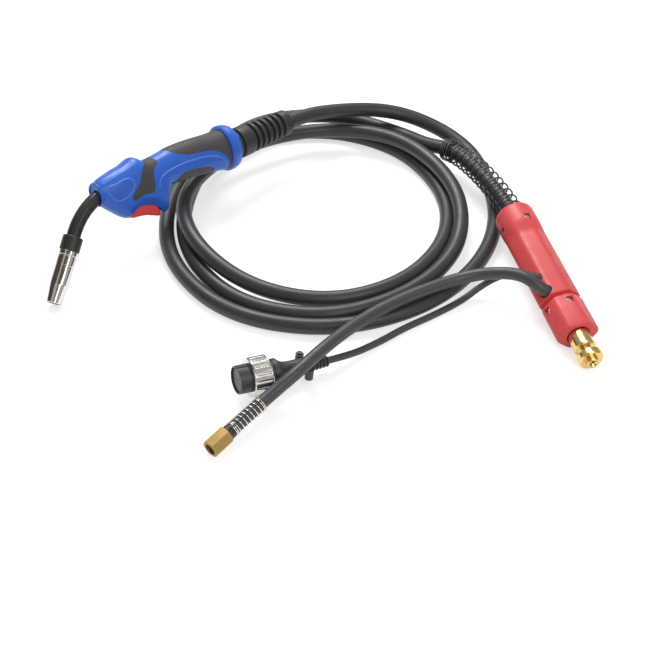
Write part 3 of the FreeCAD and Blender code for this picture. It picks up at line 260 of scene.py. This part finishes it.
zinc = finish("screw_zinc", (0.66, 0.65, 0.63), 0.28, metal=1.0, grain_depth=0.03)
black_wire = finish("black_wire", (0.11, 0.11, 0.115), 0.36, metal=1.0, mottle=0.2,
                    grain_depth=0.03)
nickel_wire = finish("nickel_wire", (0.78, 0.74, 0.68), 0.20, metal=1.0, grain_depth=0.02)
print(len(bpy.data.materials), "materials")

# %% [markdown]
# ## Dressing the rigid pieces
# The shells, the nozzle, the neck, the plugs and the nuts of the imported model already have
# their right shapes. Drawing them again would only risk a poor fit, so each one keeps its mesh
# and gets a finish by name. Every slot of the object takes the same finish.

# %% Finish by piece
DRESS = {
    blue_shell: ("handle_left_shell", "handle_right_shell", "handle_collar"),
    grip_skin: ("front_grip", "rear_top_grip", "rear_bottom_grip"),
    neck_skin: ("neck_jacket",),
    band_skin: ("nozzle_insulator", "swivel_ball", "spring_holder", "microswitch",
                "gas_ferrule"),
    chrome: ("gas_nozzle",),
    copper: ("contact_tip", "neck_core"),
    brass: ("tip_holder", "cable_connector", "power_block", "plug_body", "inlet_nut",
            "gas_spigot"),
    nut_brass: ("gas_nut", "contact_pins"),
    plug_black: ("plug_barrel", "contact_insert", "backshell", "cable_clamp", "clamp_screws"),
    ring_chrome: ("coupling_ring",),
    zinc: ("handle_screws", "trigger_pin", "switch_plunger"),
}


def dress(piece, material):
    """Puts one finish in every material slot of a piece."""
    if not piece.material_slots:
        piece.data.materials.append(material)
    for slot in piece.material_slots:
        slot.material = material


for material, names in DRESS.items():
    for name in names:
        dress(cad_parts[name], material)
print(sum(len(names) for names in DRESS.values()), "nodes dressed")

# %% [markdown]
# ## The main cable
# An 18 mm cable is stiff: it leaves the kink sleeve straight, falls to the floor behind the
# handle and lies in three loose turns of different size, some on top of each other, before it
# rises into the spring of the adaptor. Straight runs with rounded corners would look like bent
# wire. A NURBS spline is the right tool, because its control points pull the line into smooth
# curves without ever making a corner. TURNS lists one point every 30 degrees, as a distance
# from the middle of the loops and a height, in millimetres. The line stays inside its points,
# so they are set a little further out than the cable is to lie.


# %% Helpers for curves and cords
def line_of(name, kind, points):
    """A curve with one spline of a kind, and the spline, with a knot at each point."""
    line = bpy.data.curves.new(name, "CURVE")
    line.dimensions = "3D"
    spline = line.splines.new(kind)
    if kind == "BEZIER":
        spline.bezier_points.add(len(points) - 1)
        for knot, point in zip(spline.bezier_points, points):
            knot.co = point
            knot.handle_left_type = knot.handle_right_type = "AUTO"
    else:
        spline.points.add(len(points) - 1)
        for knot, point in zip(spline.points, points):
            knot.co = (*point, 1)
    return line, spline


def cord(name, points, diameter, material):
    """A round cord along a smooth line through the pull of its points, in metres."""
    line, spline = line_of(name, "NURBS", points)
    spline.order_u = 3
    spline.use_endpoint_u = True
    spline.resolution_u = 12
    line.bevel_depth = diameter / 2
    line.bevel_resolution = 8
    line.use_fill_caps = True
    line.materials.append(material)
    return placed(name, line)


def laid(points):
    """Points of the layout drawing, in metres in the scene."""
    return [at(LAYOUT, *point) for point in points]


# %% Route of the main cable
CABLE_D = 0.018
LOOP_CENTRE = Vector((3, 20, 0))
LOOP_STEP = 30
LOW = 9.1
TURNS = ((214, 10), (199, 9.2), (195, LOW), (199, LOW), (207, LOW), (210, LOW),
         (198, LOW), (189, LOW), (193, LOW), (188, LOW), (181, LOW), (165, LOW),
         (147, LOW), (142, LOW), (144, LOW), (153, LOW), (162, LOW), (167, 16),
         (170, 29), (170, 29), (156, 30), (150, 29), (160, 24), (160, 28),
         (151, 29), (156, 23), (165, 13), (172, LOW), (188, LOW), (190, LOW),
         (176, LOW), (169, 10), (171, 22), (190, 32), (203, 19))
route = [at(HANDLE, 119), at(HANDLE, 181), at(SLEEVE, 125)]
route += laid(((20, 186, 51), (74, 203, 41.5), (120, 199, 31), (166, 172, 19.5)))
for k, (radius, height) in enumerate(TURNS):
    angle = math.radians(LOOP_STEP * (1 - k))
    reach = radius / math.cos(math.radians(LOOP_STEP / 2))
    side = Vector((reach * math.cos(angle), reach * math.sin(angle), height))
    route.append(LAYOUT @ (LOOP_CENTRE + side))
route += laid(((62, 212, 14), (103, 180, 17), (128, 146, 24.5), (155, 123.5, 33),
               (179.3, 84.7, 36.4)))
route += [at(ADAPTOR, -28), at(ADAPTOR, 15)]
main_cable = cord("main_cable", route, CABLE_D, cable_skin)
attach(main_cable, "torch")
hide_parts("cable_lead", "cable_loops", "cable_tail")
print("main cable with", len(route), "points")

# %% [markdown]
# ## The gas hose
# The hose leaves a port in the adaptor's side, bends down over the cable loops and runs to its
# brass fitting on the floor in front. It is thinner and softer than the main cable, and the
# same helper draws it. Its first points step out of the port at a slant, and its last two lie
# on the fitting's own axis, so that it enters both pieces straight.

# %% Gas hose
HOSE_D = 0.0136
GAS_PORT, GAS_EXIT = Vector((139.5, -8.6, 6)), Vector((136.4, -17.2, 12.6))
hose_route = [ADAPTOR @ GAS_PORT, ADAPTOR @ GAS_EXIT, at(ADAPTOR, 128.5, -25.5, 17),
              at(ADAPTOR, 118, -33, 18.5)]
hose_route += laid(((200, -134, 40), (173, -126, 33), (142, -129.5, 27.5), (110, -145, 26.5),
                    (76, -166, 26.5), (46, -190, 27), (20, -218, 29), (-5, -252, 33),
                    (-30, -283, 30)))
hose_route += [at(FITTING, 82), at(FITTING, 28.75)]
gas_hose = cord("hose", hose_route, HOSE_D, hose_skin)
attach(gas_hose, "torch")
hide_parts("gas_hose")
print("gas hose with", len(hose_route), "points")

# %% [markdown]
# ## The control lead
# The thin lead carries the trigger's signal. It leaves a second port just behind the hose,
# drops to the floor and runs along it into the boot of the round plug. A lead this light could
# be left to a simulation, but points given one by one follow the picture more closely.

# %% Control lead
LEAD_D = 0.0075
LEAD_PORT, LEAD_WAY = Vector((116, -15, 11.3)), Vector((-0.60, -0.75, 0.05)).normalized()
LEAD_INSIDE, LEAD_OUTSIDE = 6, 13
lead_route = [ADAPTOR @ (LEAD_PORT - LEAD_WAY * LEAD_INSIDE),
              ADAPTOR @ (LEAD_PORT + LEAD_WAY * LEAD_OUTSIDE)]
lead_route += laid(((202, -124.5, 32), (186, -121, 22), (170, -124, 11.5), (156, -133, 5.2),
                    (141, -145, 3.9), (116.5, -163, 3.9), (84, -184, 3.9), (58, -206, 4.3)))
lead_route += [at(PLUG, 123), at(PLUG, 70)]
control_lead = cord("lead", lead_route, LEAD_D, hose_skin)
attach(control_lead, "torch")
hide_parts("control_lead")
print("control lead with", len(lead_route), "points")

# %% [markdown]
# ## Springs that guard the bends
# A black steel spring keeps the cable from kinking where it enters the adaptor, and a nickel
# one does the same on the hose. Each is a wire wound round the cord, close at both ends and
# open between. A Screw modifier winds only a straight spring. Here the wire is a curve whose
# points circle the cord's own line, so it bends with it. The cable's spring is wider than the
# cable, so its turns also hang a little to one side, most at the adaptor.


# %% Read a cord's own line
def own_line(piece):
    """Points along the middle of a cord, read from its spline."""
    bare = piece.data.copy()
    bare.bevel_depth = 0
    stand_in = placed("bare_line", bare)
    shape = bpy.data.meshes.new_from_object(stand_in)
    points = [v.co.copy() for v in shape.vertices]
    bpy.data.objects.remove(stand_in)
    bpy.data.meshes.remove(shape)
    bpy.data.curves.remove(bare)
    return points


def along(points, distance):
    """Point and heading at a distance along a line of points."""
    for a, b in zip(points, points[1:]):
        step = (b - a).length
        if distance <= step:
            return a + (b - a) * (distance / step), (b - a).normalized()
        distance -= step
    return points[-1], (points[-1] - points[-2]).normalized()


# %% A helper for springs
TURN_STEPS, WIRE_GAP = 20, 0.0006


def wound(name, line, material, start, length, radius, wire, closed, open_turns,
          lean=(0, 0, 0)):
    """A spring of round wire about a line, all in metres, with closed turns at both ends.

    lean is how far its first end hangs off the line. The far end grips the cord.
    """
    tight = 2 * wire + WIRE_GAP
    loose = (length - 2 * closed * tight) / open_turns
    across = Vector((0, 0, 1))
    points = []
    for k in range((2 * closed + open_turns) * TURN_STEPS + 1):
        u = k / TURN_STEPS
        gone = tight * min(u, closed) + loose * min(max(u - closed, 0), open_turns)
        gone += tight * max(u - closed - open_turns, 0)
        spot, heading = along(line, start + gone)
        spot = spot + Vector(lean) * (1 - (gone / length) ** 2)
        across = (across - heading * across.dot(heading)).normalized()
        other = heading.cross(across)
        angle = 2 * math.pi * u
        points.append(spot + across * (radius * math.cos(angle))
                      + other * (radius * math.sin(angle)))
    curve = line_of(name, "POLY", points)[0]
    curve.bevel_depth = wire
    curve.bevel_resolution = 3
    curve.use_fill_caps = True
    curve.materials.append(material)
    return placed(name, curve)


# %% Cable spring and hose spring
cable_line = own_line(main_cable)[::-1]
cable_guard = wound("cable_guard_spring", cable_line, black_wire, start=0.0044, length=0.1702,
                    radius=0.0134, wire=0.00115, closed=3, open_turns=13,
                    lean=(0.0012, 0.0008, 0))
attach(cable_guard, "torch")
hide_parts("cable_spring")
hose_line = own_line(gas_hose)[::-1]
hose_guard = wound("hose_guard_spring", hose_line, nickel_wire, start=0.0009, length=0.042,
                   radius=0.0078, wire=0.0006, closed=2, open_turns=7)
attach(hose_guard, "torch")
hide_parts("gas_hose_spring")
print("springs of", len(cable_guard.data.splines[0].points), "and",
      len(hose_guard.data.splines[0].points), "points")

# %% [markdown]
# ## Turned and moulded rubber
# The kink sleeve behind the handle and the boot of the control lead are rings of rubber with
# grooves between, so that they bend evenly. Rings could be stacked and joined, but one outline
# spun round the x axis gives a single closed skin. A small bevel then rounds every rib, because
# rubber has no sharp edges.


# %% Helpers for turned pieces
SHARP_EDGE, RING_EDGE, TOUCHING = 32, 35, 0.0005


def plain(name, shape):
    """An object of a bmesh, which is used up."""
    mesh = bpy.data.meshes.new(name)
    shape.to_mesh(mesh)
    shape.free()
    return placed(name, mesh)


def settle(name, shape, place, body, nodes, material):
    """Makes a finished piece of a bmesh drawn in an assembly's frame."""
    bmesh.ops.transform(shape, matrix=place, verts=shape.verts)
    piece = plain(name, shape)
    piece.data.polygons.foreach_set("use_smooth", [True] * len(piece.data.polygons))
    piece.data.set_sharp_from_angle(angle=math.radians(SHARP_EDGE))
    piece.data.materials.append(material)
    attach(piece, body)
    if nodes:
        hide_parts(*nodes)
    return piece


def eased(shape, edges, offset, segments):
    """Rounds some edges of a bmesh."""
    bmesh.ops.bevel(shape, geom=edges, offset=offset, affect="EDGES", segments=segments,
                    profile=0.5, material=-1, clamp_overlap=True)


def turned(name, place, outline, body, nodes, material, rounding=0.0, steps=96):
    """Spins a closed outline of (x, radius) in millimetres round x and lays it in its place."""
    shape = bmesh.new()
    rim = [shape.verts.new((x, 0, r)) for x, r in outline]
    runs = [shape.edges.new(pair) for pair in zip(rim, rim[1:] + rim[:1])]
    bmesh.ops.spin(shape, geom=rim + runs, cent=(0, 0, 0), axis=(1, 0, 0), angle=2 * math.pi,
                   steps=steps, use_merge=True)
    bmesh.ops.remove_doubles(shape, verts=shape.verts, dist=TOUCHING)
    bmesh.ops.recalc_face_normals(shape, faces=shape.faces)
    if rounding:
        rings = [e for e in shape.edges if len(e.link_faces) == 2
                 and e.calc_face_angle(0) > math.radians(RING_EDGE)]
        eased(shape, rings, rounding, 3)
    return settle(name, shape, place, body, nodes, material)


# %% The outline of ribs
GROOVE = 0.48
RIB_TOP = ((0.51, 0.35), (0.74, 0), (0.97, 0.35))


def rib_outline(start, end, count, near, far, depth):
    """Points over round-topped ribs from start to end, shrinking from near to far.

    A point of a rib is a share of the pitch and a drop below the rib's top.
    """
    pitch = (end - start) / count
    points = []
    for k in range(count):
        top = near + (far - near) * (k + 0.5) / count
        for share, drop in ((0, depth), (GROOVE, depth), *RIB_TOP):
            points.append((start + (k + share) * pitch, top - drop))
    return points


# %% Kink sleeve
SLEEVE_BORE, SEAT_R, SEAT_END = 9.8, 12.45, 40
outline = [(14, SEAT_R), (14, 15.2), (19.4, 15.2), (19.8, 18), (20.8, 18.8), (37, 18.5)]
outline += rib_outline(start=37, end=82, count=5, near=18.4, far=16.6, depth=4.6)
outline += [(82, 11.9), (86.2, 11.9), (86.8, 16.1), (87.6, 16.4), (98.6, 15.8), (100, 14.8),
            (100, SLEEVE_BORE), (SEAT_END, SLEEVE_BORE), (SEAT_END, SEAT_R)]
kink_sleeve = turned("ribbed_sleeve", SLEEVE, outline, "sleeve", ["kink_sleeve"], soft_rubber,
                     rounding=0.5)
print("kink sleeve with", len(kink_sleeve.data.polygons), "faces")

# %% Boot of the control lead
BOOT_BORE = 3.8
outline = [(80, BOOT_BORE), (80, 6.8), (81, 7.0)]
outline += rib_outline(start=81, end=101, count=5, near=7.4, far=5.8, depth=1.5)
outline += [(101, 4.8), (101, BOOT_BORE)]
boot = turned("lead_bend_boot", PLUG, outline, "torch", ["lead_boot"], soft_rubber,
              rounding=0.25, steps=64)
print("boot with", len(boot.data.polygons), "faces")

# %% [markdown]
# ## The trigger
# The real trigger is a red moulding with every edge rounded, where the finger rubs it smooth.
# It could be sculpted from a box. Its side view is a simple closed outline, though, so the
# outline becomes a face, the face is pushed out to the trigger's width, and a bevel rounds both
# rims.

# %% Rounded trigger
TRIGGER_OUTLINE = ((28.7, -34.6), (31, -38), (36, -38.9), (43, -39.7), (50, -41), (58, -43.6),
                   (64, -46), (67, -46.4), (68.4, -44.2), (67.6, -38), (66.3, -32.6),
                   (64, -29.4), (52, -27.9), (40, -27.4), (34, -26.6), (29.4, -29))
TRIGGER_HALF, TRIGGER_ROUND, TRIGGER_EDGE = 7.2, 1.6, 60
loop, spline = line_of("trigger_outline", "BEZIER",
                       [(x, -TRIGGER_HALF, z) for x, z in TRIGGER_OUTLINE])
spline.use_cyclic_u = True
spline.resolution_u = 4
drawn = placed("trigger_outline", loop)
rim_mesh = bpy.data.meshes.new_from_object(drawn)
bpy.data.objects.remove(drawn)
shape = bmesh.new()
side_face = shape.faces.new([shape.verts.new(v.co) for v in rim_mesh.vertices])
pushed = bmesh.ops.extrude_face_region(shape, geom=[side_face])["geom"]
bmesh.ops.translate(shape, vec=(0, 2 * TRIGGER_HALF, 0),
                    verts=[g for g in pushed if isinstance(g, bmesh.types.BMVert)])
bmesh.ops.recalc_face_normals(shape, faces=shape.faces)
rims = [e for e in shape.edges if e.calc_face_angle(0) > math.radians(TRIGGER_EDGE)]
eased(shape, rims, TRIGGER_ROUND, 4)
finger_trigger = settle("finger_trigger", shape, HANDLE, "trigger", ["trigger"], red_trigger)
print("trigger with", len(finger_trigger.data.polygons), "faces")

# %% [markdown]
# ## The adaptor's two mouldings
# The red housing starts as a round collar and flattens into an eight-sided bar with soft
# edges. A bevelled box would have flat faces and one width of edge. Instead a ring is pushed
# along the bar, one station after another, and drawn in or out at each. A sum of high powers
# rounds the corners of the eight sides: the higher the power, the crisper.


# %% Helpers for the bar
SIDES = ((0, 23.5), (43.9, 19.0), (90, 17.0), (136.1, 19.0), (180, 23.5), (223.9, 19.0),
         (270, 17.0), (316.1, 19.0))
SIDE_POWER, SIDE_ROLL, RIM_STEPS = 16, 8.0, 128


def bar_radius(angle):
    """Distance from the adaptor's axis to its skin, at an angle in degrees from its y axis."""
    total = 0.0
    for facing, distance in SIDES:
        share = math.cos(math.radians(angle - SIDE_ROLL - facing)) / distance
        total += max(share, 0.0) ** SIDE_POWER
    return total ** (-1 / SIDE_POWER)


def drawn_in(ring, station):
    """Moves the points of a ring to a station of (x, share of the bar's form, inset, radius)."""
    x, share, inset, radius = station
    for vert in ring:
        side = math.atan2(vert.co.z, vert.co.y)
        reach = (1 - share) * radius + share * bar_radius(math.degrees(side)) - inset
        vert.co = (x, reach * math.cos(side), reach * math.sin(side))


def lofted(name, stations):
    """Closed skin through stations, made by pushing a rim from one to the next."""
    shape = bmesh.new()
    bmesh.ops.create_circle(shape, segments=RIM_STEPS, radius=1, matrix=about("Y", 90))
    rim = shape.edges[:]
    drawn_in(shape.verts, stations[0])
    for station in stations[1:]:
        pushed = bmesh.ops.extrude_edge_only(shape, edges=rim)["geom"]
        rim = [g for g in pushed if isinstance(g, bmesh.types.BMEdge) and g.is_boundary]
        drawn_in([g for g in pushed if isinstance(g, bmesh.types.BMVert)], station)
    bmesh.ops.holes_fill(shape, edges=shape.edges, sides=0)
    bmesh.ops.recalc_face_normals(shape, faces=shape.faces)
    return plain(name, shape)


# %% [markdown]
# ## Recesses, slit and ports
# The mouldings are held by screws in deep pockets, a short slit is moulded in the side, and the
# hose and the lead leave through holes. Pockets in a curved skin could be modelled face by face,
# but cutting them with a box or a rod is quick and leaves crisp edges, as a mould does.


# %% Helpers for cutting
def boxes(name, places, size):
    """One object of boxes of one size in millimetres, each at its own matrix."""
    shape = bmesh.new()
    for place in places:
        bmesh.ops.create_cube(shape, size=1.0, matrix=place @ Matrix.Diagonal((*size, 1)))
    return plain(name, shape)


def rod(shape, radius, length, place=Matrix(), sides=64):
    """Adds a closed round rod to a bmesh, along the z axis of its place."""
    bmesh.ops.create_cone(shape, cap_ends=True, segments=sides, radius1=radius, radius2=radius,
                          depth=length, matrix=place)


def carved(piece, *tools):
    """The bmesh that is left of a piece once tools are cut from it. All are used up."""
    for tool in tools:
        cut = piece.modifiers.new("cut", "BOOLEAN")
        cut.operation = "DIFFERENCE"
        cut.solver = "EXACT"
        cut.object = tool
    bpy.context.view_layer.update()
    shape = bmesh.new()
    shape.from_object(piece, bpy.context.evaluated_depsgraph_get())
    for used in (piece, *tools):
        bpy.data.objects.remove(used)
    return shape


# %% Where the screws go
SCREW_TURNS = (-10, 80, 170, 260)
REAR_SCREWS, FRONT_SCREWS, COLLAR_R = 27, 160, 23.0
RECESS, RECESS_FLOOR = (8.0, 6.6, 12.0), 4.6
recess_depth = RECESS_FLOOR - RECESS[2] / 2


def screw_places(x, depth, collar=0.0):
    """Frames at the four screws of one station, at a depth under the skin, z pointing out."""
    frames = []
    for turn in SCREW_TURNS:
        skin = collar or bar_radius(90 + turn)
        frames.append(about("X", turn) @ shift(x, 0, skin - depth))
    return frames


print(len(SCREW_TURNS), "screws at", REAR_SCREWS, "mm and at", FRONT_SCREWS, "mm")

# %% Rear housing
HOUSING = ((10, 0, 0, 18.05), (0, 0, 0, 18.05), (0, 0, 0, 19.6), (0.5, 0, 0, 20.6),
           (1.7, 0, 0, 21.8), (3.4, 0, 0, 22.6), (5.6, 0, 0, 23), (27, 0, 0, 23),
           (31, 0.08, 0, 23), (35, 0.28, 0, 23), (39, 0.55, 0, 23), (43, 0.82, 0, 23),
           (47, 0.96, 0, 23), (51, 1, 0, 23), (144.2, 1, 0, 0), (145.4, 1, 0.3, 0),
           (146, 1, 1.0, 0), (146.2, 1, 2.5, 0), (146.3, 1, 4.2, 0), (149, 1, 4.3, 0))
SLIT, SLIT_X, SLIT_OUT, SLIT_ROLL, SLIT_YAW = (8, 1.1, 2.4), 87, 18.5, -30, -20
HOSE_CLEAR, LEAD_CLEAR, LEAD_PORT_DEEP = 0.9, 0.8, 2
recesses = boxes("rear_recesses", screw_places(REAR_SCREWS, recess_depth, COLLAR_R), RECESS)
slit_place = about("X", SLIT_ROLL) @ shift(SLIT_X, 0, SLIT_OUT) @ about("Z", SLIT_YAW)
slit = boxes("slit", (slit_place,), SLIT)
ports = bmesh.new()
lead_ends = (LEAD_PORT - LEAD_WAY * LEAD_PORT_DEEP, LEAD_PORT + LEAD_WAY * LEAD_OUTSIDE)
for inner, outer, cord_d, clear in ((GAS_PORT, GAS_EXIT, HOSE_D, HOSE_CLEAR),
                                    (*lead_ends, LEAD_D, LEAD_CLEAR)):
    turn = (outer - inner).to_track_quat("Z", "Y").to_matrix().to_4x4()
    rod(ports, cord_d / 2 / MM + clear, (outer - inner).length,
        Matrix.Translation((inner + outer) / 2) @ turn, sides=48)
housing = carved(lofted("housing_loft", HOUSING), recesses, slit, plain("ports", ports))
shell_piece = settle("adaptor_shell", housing, ADAPTOR, "torch", ["housing_body"], red_shell)
print("adaptor shell with", len(shell_piece.data.polygons), "faces")

# %% Nose of the housing
NOSE = ((149, 1, 4.3, 0), (151.3, 1, 4.2, 0), (151.4, 1, 2.5, 0), (151.6, 1, 1.0, 0),
        (152.2, 1, 0.3, 0), (153.4, 1, 0, 0), (195.4, 1, 0, 0), (196.6, 1, 0.35, 0),
        (197.6, 1, 1.1, 0), (198, 1, 2.3, 0), (198, 0, 0, 12.9), (197.6, 0, 0, 12.3),
        (193, 0, 0, 12.3))
recesses = boxes("front_recesses", screw_places(FRONT_SCREWS, recess_depth), RECESS)
nose_piece = settle("adaptor_nose", carved(lofted("nose_loft", NOSE), recesses), ADAPTOR,
                    "torch", ["housing_nose"], red_shell)
print("adaptor nose with", len(nose_piece.data.polygons), "faces")

# %% Screws of the adaptor
HEAD_R, HEAD_TALL, HEAD_ROUND, HEAD_SUNK, HEAD_TURN = 2.8, 1.8, 0.6, 1.5, 28.648
SLOT = (3.8, 0.8, 1.8)
shape = bmesh.new()
rod(shape, HEAD_R, HEAD_TALL, sides=40)
eased(shape, [e for e in shape.edges if all(v.co.z > 0 for v in e.verts)], HEAD_ROUND, 3)
bmesh.ops.recalc_face_normals(shape, faces=shape.faces)
top = shift(0, 0, HEAD_TALL / 2)
slots = (boxes("slot_one", (top,), SLOT), boxes("slot_two", (top @ about("Z", 90),), SLOT))
head = plain("screw_head", carved(plain("head", shape), *slots))
sunk = HEAD_SUNK + HEAD_TALL / 2
shape = bmesh.new()
for place in screw_places(REAR_SCREWS, sunk, COLLAR_R) + screw_places(FRONT_SCREWS, sunk):
    before = len(shape.verts)
    shape.from_mesh(head.data)
    shape.verts.ensure_lookup_table()
    bmesh.ops.transform(shape, matrix=place @ about("Z", HEAD_TURN),
                        verts=shape.verts[before:])
bpy.data.objects.remove(head)
screws = settle("adaptor_screws", shape, ADAPTOR, "torch", ["housing_screws"], zinc)
print("screws with", len(screws.data.polygons), "faces")

# %% [markdown]
# ## The lip round the neck
# The handle's front edge ends in a rounded lip, and a disc closes the gap round the bent neck.
# The lip is a small circle turned about the handle's axis. The disc could have a plain round
# hole, but the neck passes at a slant, so a rod that lies along the neck cuts it instead.

# %% Lip and disc
LIP_X, LIP_R, LIP_ROUND, LIP_DROP, LIP_POINTS = -1.4, 12.6, 1.5, -0.8, 12
DISC_X, DISC_R, DISC_THICK = -0.4, 10.5, 2.4
NECK_R, NECK_CLEAR, NECK_TILT, NECK_DROP, NECK_ROD = 8.0, 0.3, 17.7, -3.8, 30
circle = [math.radians(360 / LIP_POINTS * k) for k in range(LIP_POINTS)]
outline = [(LIP_X + LIP_ROUND * math.cos(a), LIP_R + LIP_ROUND * math.sin(a)) for a in circle]
lip = turned("handle_lip", HANDLE @ shift(0, 0, LIP_DROP), outline, "torch", [], blue_shell,
             steps=64)
along_x = about("Y", 90)
flat_disc, neck_rod = bmesh.new(), bmesh.new()
rod(flat_disc, DISC_R, DISC_THICK, shift(DISC_X, 0, LIP_DROP) @ along_x)
rod(neck_rod, NECK_R + NECK_CLEAR, NECK_ROD,
    shift(DISC_X, 0, NECK_DROP) @ about("Y", -NECK_TILT) @ along_x)
disc = settle("neck_disc", carved(plain("disc", flat_disc), plain("rod", neck_rod)), HANDLE,
              "torch", [], blue_shell)
print("lip with", len(lip.data.polygons), "faces, disc with", len(disc.data.polygons))

# %% [markdown]
# ## What the free cords carry
# The hose ends in its fitting and the lead in its plug.

print("hose ends in its fitting, lead in its plug")

# %% [markdown]
# ## Raised lines on the handle
# The blue shells carry fine raised lines: a closed panel on each side, a brow line above it and
# a long sweep along the grip. They could be cut into the shells' meshes, but those come ready
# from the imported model. Each line is a thin bead instead. Its points are drawn in the side view
# and dropped onto the shell with a ray, so that the bead follows the curved surface.

# %% Beads on both shells
BEAD_R, BEAD_SUNK, RAY_START = 0.95, 0.4, 60
BEADS = {
    "panel_bead": (((7, 3), (18, 5.5), (31, 7.5), (37, 5), (38.5, 0), (35, -6), (29, -11),
                    (20, -13.5), (14, -13), (9, -6)), True),
    "sweep_bead": (((70.5, -13), (72.5, -7), (80, -2), (92, 0.8), (106, 2.4), (120, 2.6),
                    (134, 2), (148, 0), (158, -4), (166, -12), (168.5, -19)), False),
    "brow_bead": (((3, 9.5), (14, 12), (28, 15), (40, 17.5), (46, 20), (47, 24)), False),
}
for shell, side in (("handle_left_shell", -1), ("handle_right_shell", 1)):
    skin = BVHTree.FromObject(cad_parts[shell], bpy.context.evaluated_depsgraph_get())
    inward = (HANDLE.to_3x3() @ Vector((0, -side, 0))).normalized()
    for bead, (points, closed) in BEADS.items():
        name = bead + ("_near" if side < 0 else "_far")
        spots = []
        for x, z in points:
            hit, normal = skin.ray_cast(at(HANDLE, x, side * RAY_START, z), inward)[:2]
            if hit is not None:
                spots.append(hit - normal * (BEAD_R * BEAD_SUNK * MM))
        curve, spline = line_of(name, "BEZIER", spots)
        spline.use_cyclic_u = closed
        curve.bevel_depth = BEAD_R * MM
        curve.bevel_resolution = 3
        # Each bead is a lighter blue than its shell, a painted highlight.
        curve.materials.append(blue_bead_highlight)
        piece = placed(name, curve)
        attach(piece, "torch")
print(2 * len(BEADS), "beads")

# %% [markdown]
# ## The floor
# The torch lies on plain white. More light on the floor would also bleach the torch. Instead
# the floor adds a little light of its own, for the camera and for reflections only, so it stays
# white, keeps the soft shadow and leaves the torch's own light alone.

# %% Floor
FLOOR_SIZE, FLOOR_GREY, FLOOR_GLOW = 12, 0.62, 0.60
bpy.ops.mesh.primitive_plane_add(size=FLOOR_SIZE)
floor = bpy.context.active_object
floor.name = "studio_floor"
paper = bpy.data.materials.new("white_paper")
paper.use_nodes = True
tree = paper.node_tree
rays = add(tree, "LightPath", {})
seen = add(tree, "Math", {0: rays.outputs["Is Camera Ray"], 1: rays.outputs["Is Glossy Ray"]},
           operation="MAXIMUM")
glow = add(tree, "Math", {0: seen.outputs["Value"], 1: FLOOR_GLOW}, operation="MULTIPLY")
feed(tree, tree.nodes["Principled BSDF"], {
    "Base Color": (FLOOR_GREY, FLOOR_GREY, FLOOR_GREY, 1), "Roughness": 0.9,
    "Specular IOR Level": 0.0, "Emission Color": (1, 1, 1, 1),
    "Emission Strength": glow.outputs["Value"]})
floor.data.materials.append(paper)
print("floor", FLOOR_SIZE, "m wide")

# %% [markdown]
# ## Light
# A white sky fills every side evenly, and one large soft lamp behind the torch lights its upper
# edges. A weaker lamp in front opens the shadows. Polished metal needs something darker to
# mirror, so two brown cards hang near the nozzle, one on its left and one in front and above.
# Only reflections see them, which keeps them out of the picture and lets the light pass.

# %% Sky and lamps
SKY_STRENGTH = 0.46
world = bpy.data.worlds.new("studio_sky")
bpy.context.scene.world = world
world.use_nodes = True
feed(world.node_tree, world.node_tree.nodes["Background"],
     {"Color": (1, 1, 1, 1), "Strength": SKY_STRENGTH})


def facing(place, target):
    """Turn of a lamp or card that stands at a place and faces a target."""
    return (Vector(target) - Vector(place)).to_track_quat("-Z", "Y").to_euler()


def lamp(name, place, target, size, power):
    """A square soft lamp at a place in metres, turned towards a target."""
    light = bpy.data.lights.new(name, "AREA")
    light.size = size
    light.energy = power
    piece = placed(name, light)
    piece.location = place
    piece.rotation_euler = facing(place, target)


lamp("window_light", (-0.25, 1.1, 1.5), (0, 0, 0), 1.0, 28)
lamp("front_light", (0.7, -1.2, 1.3), (0, -0.05, 0), 1.0, 10)
print(len(bpy.data.lights), "lamps")

# %% Cards for the polished metal
NOZZLE_SPOT = (-0.28, -0.07, 0.03)
CARDS = (("left_card", (-0.73, -0.13, 0.30), 0.55, 0.60),
         ("top_card", (-0.10, -0.41, 0.50), 0.50, 0.30))
card_brown = bpy.data.materials.new("card_brown")
card_brown.use_nodes = True
feed(card_brown.node_tree, card_brown.node_tree.nodes["Principled BSDF"],
     {"Base Color": (0.13, 0.10, 0.075, 1), "Specular IOR Level": 0.0})


def card(name, place, wide, high):
    """A brown card that only reflections see, turned towards the nozzle."""
    bpy.ops.mesh.primitive_plane_add(size=1)
    piece = bpy.context.active_object
    piece.name = name
    piece.scale = (wide, high, 1)
    piece.location = place
    piece.rotation_euler = facing(place, NOZZLE_SPOT)
    piece.data.materials.append(card_brown)
    for kind in ("camera", "diffuse", "transmission", "volume_scatter", "shadow"):
        setattr(piece, "visible_" + kind, False)


for row in CARDS:
    card(*row)
bpy.context.scene.view_settings.view_transform = "Standard"
print(len(CARDS), "cards")
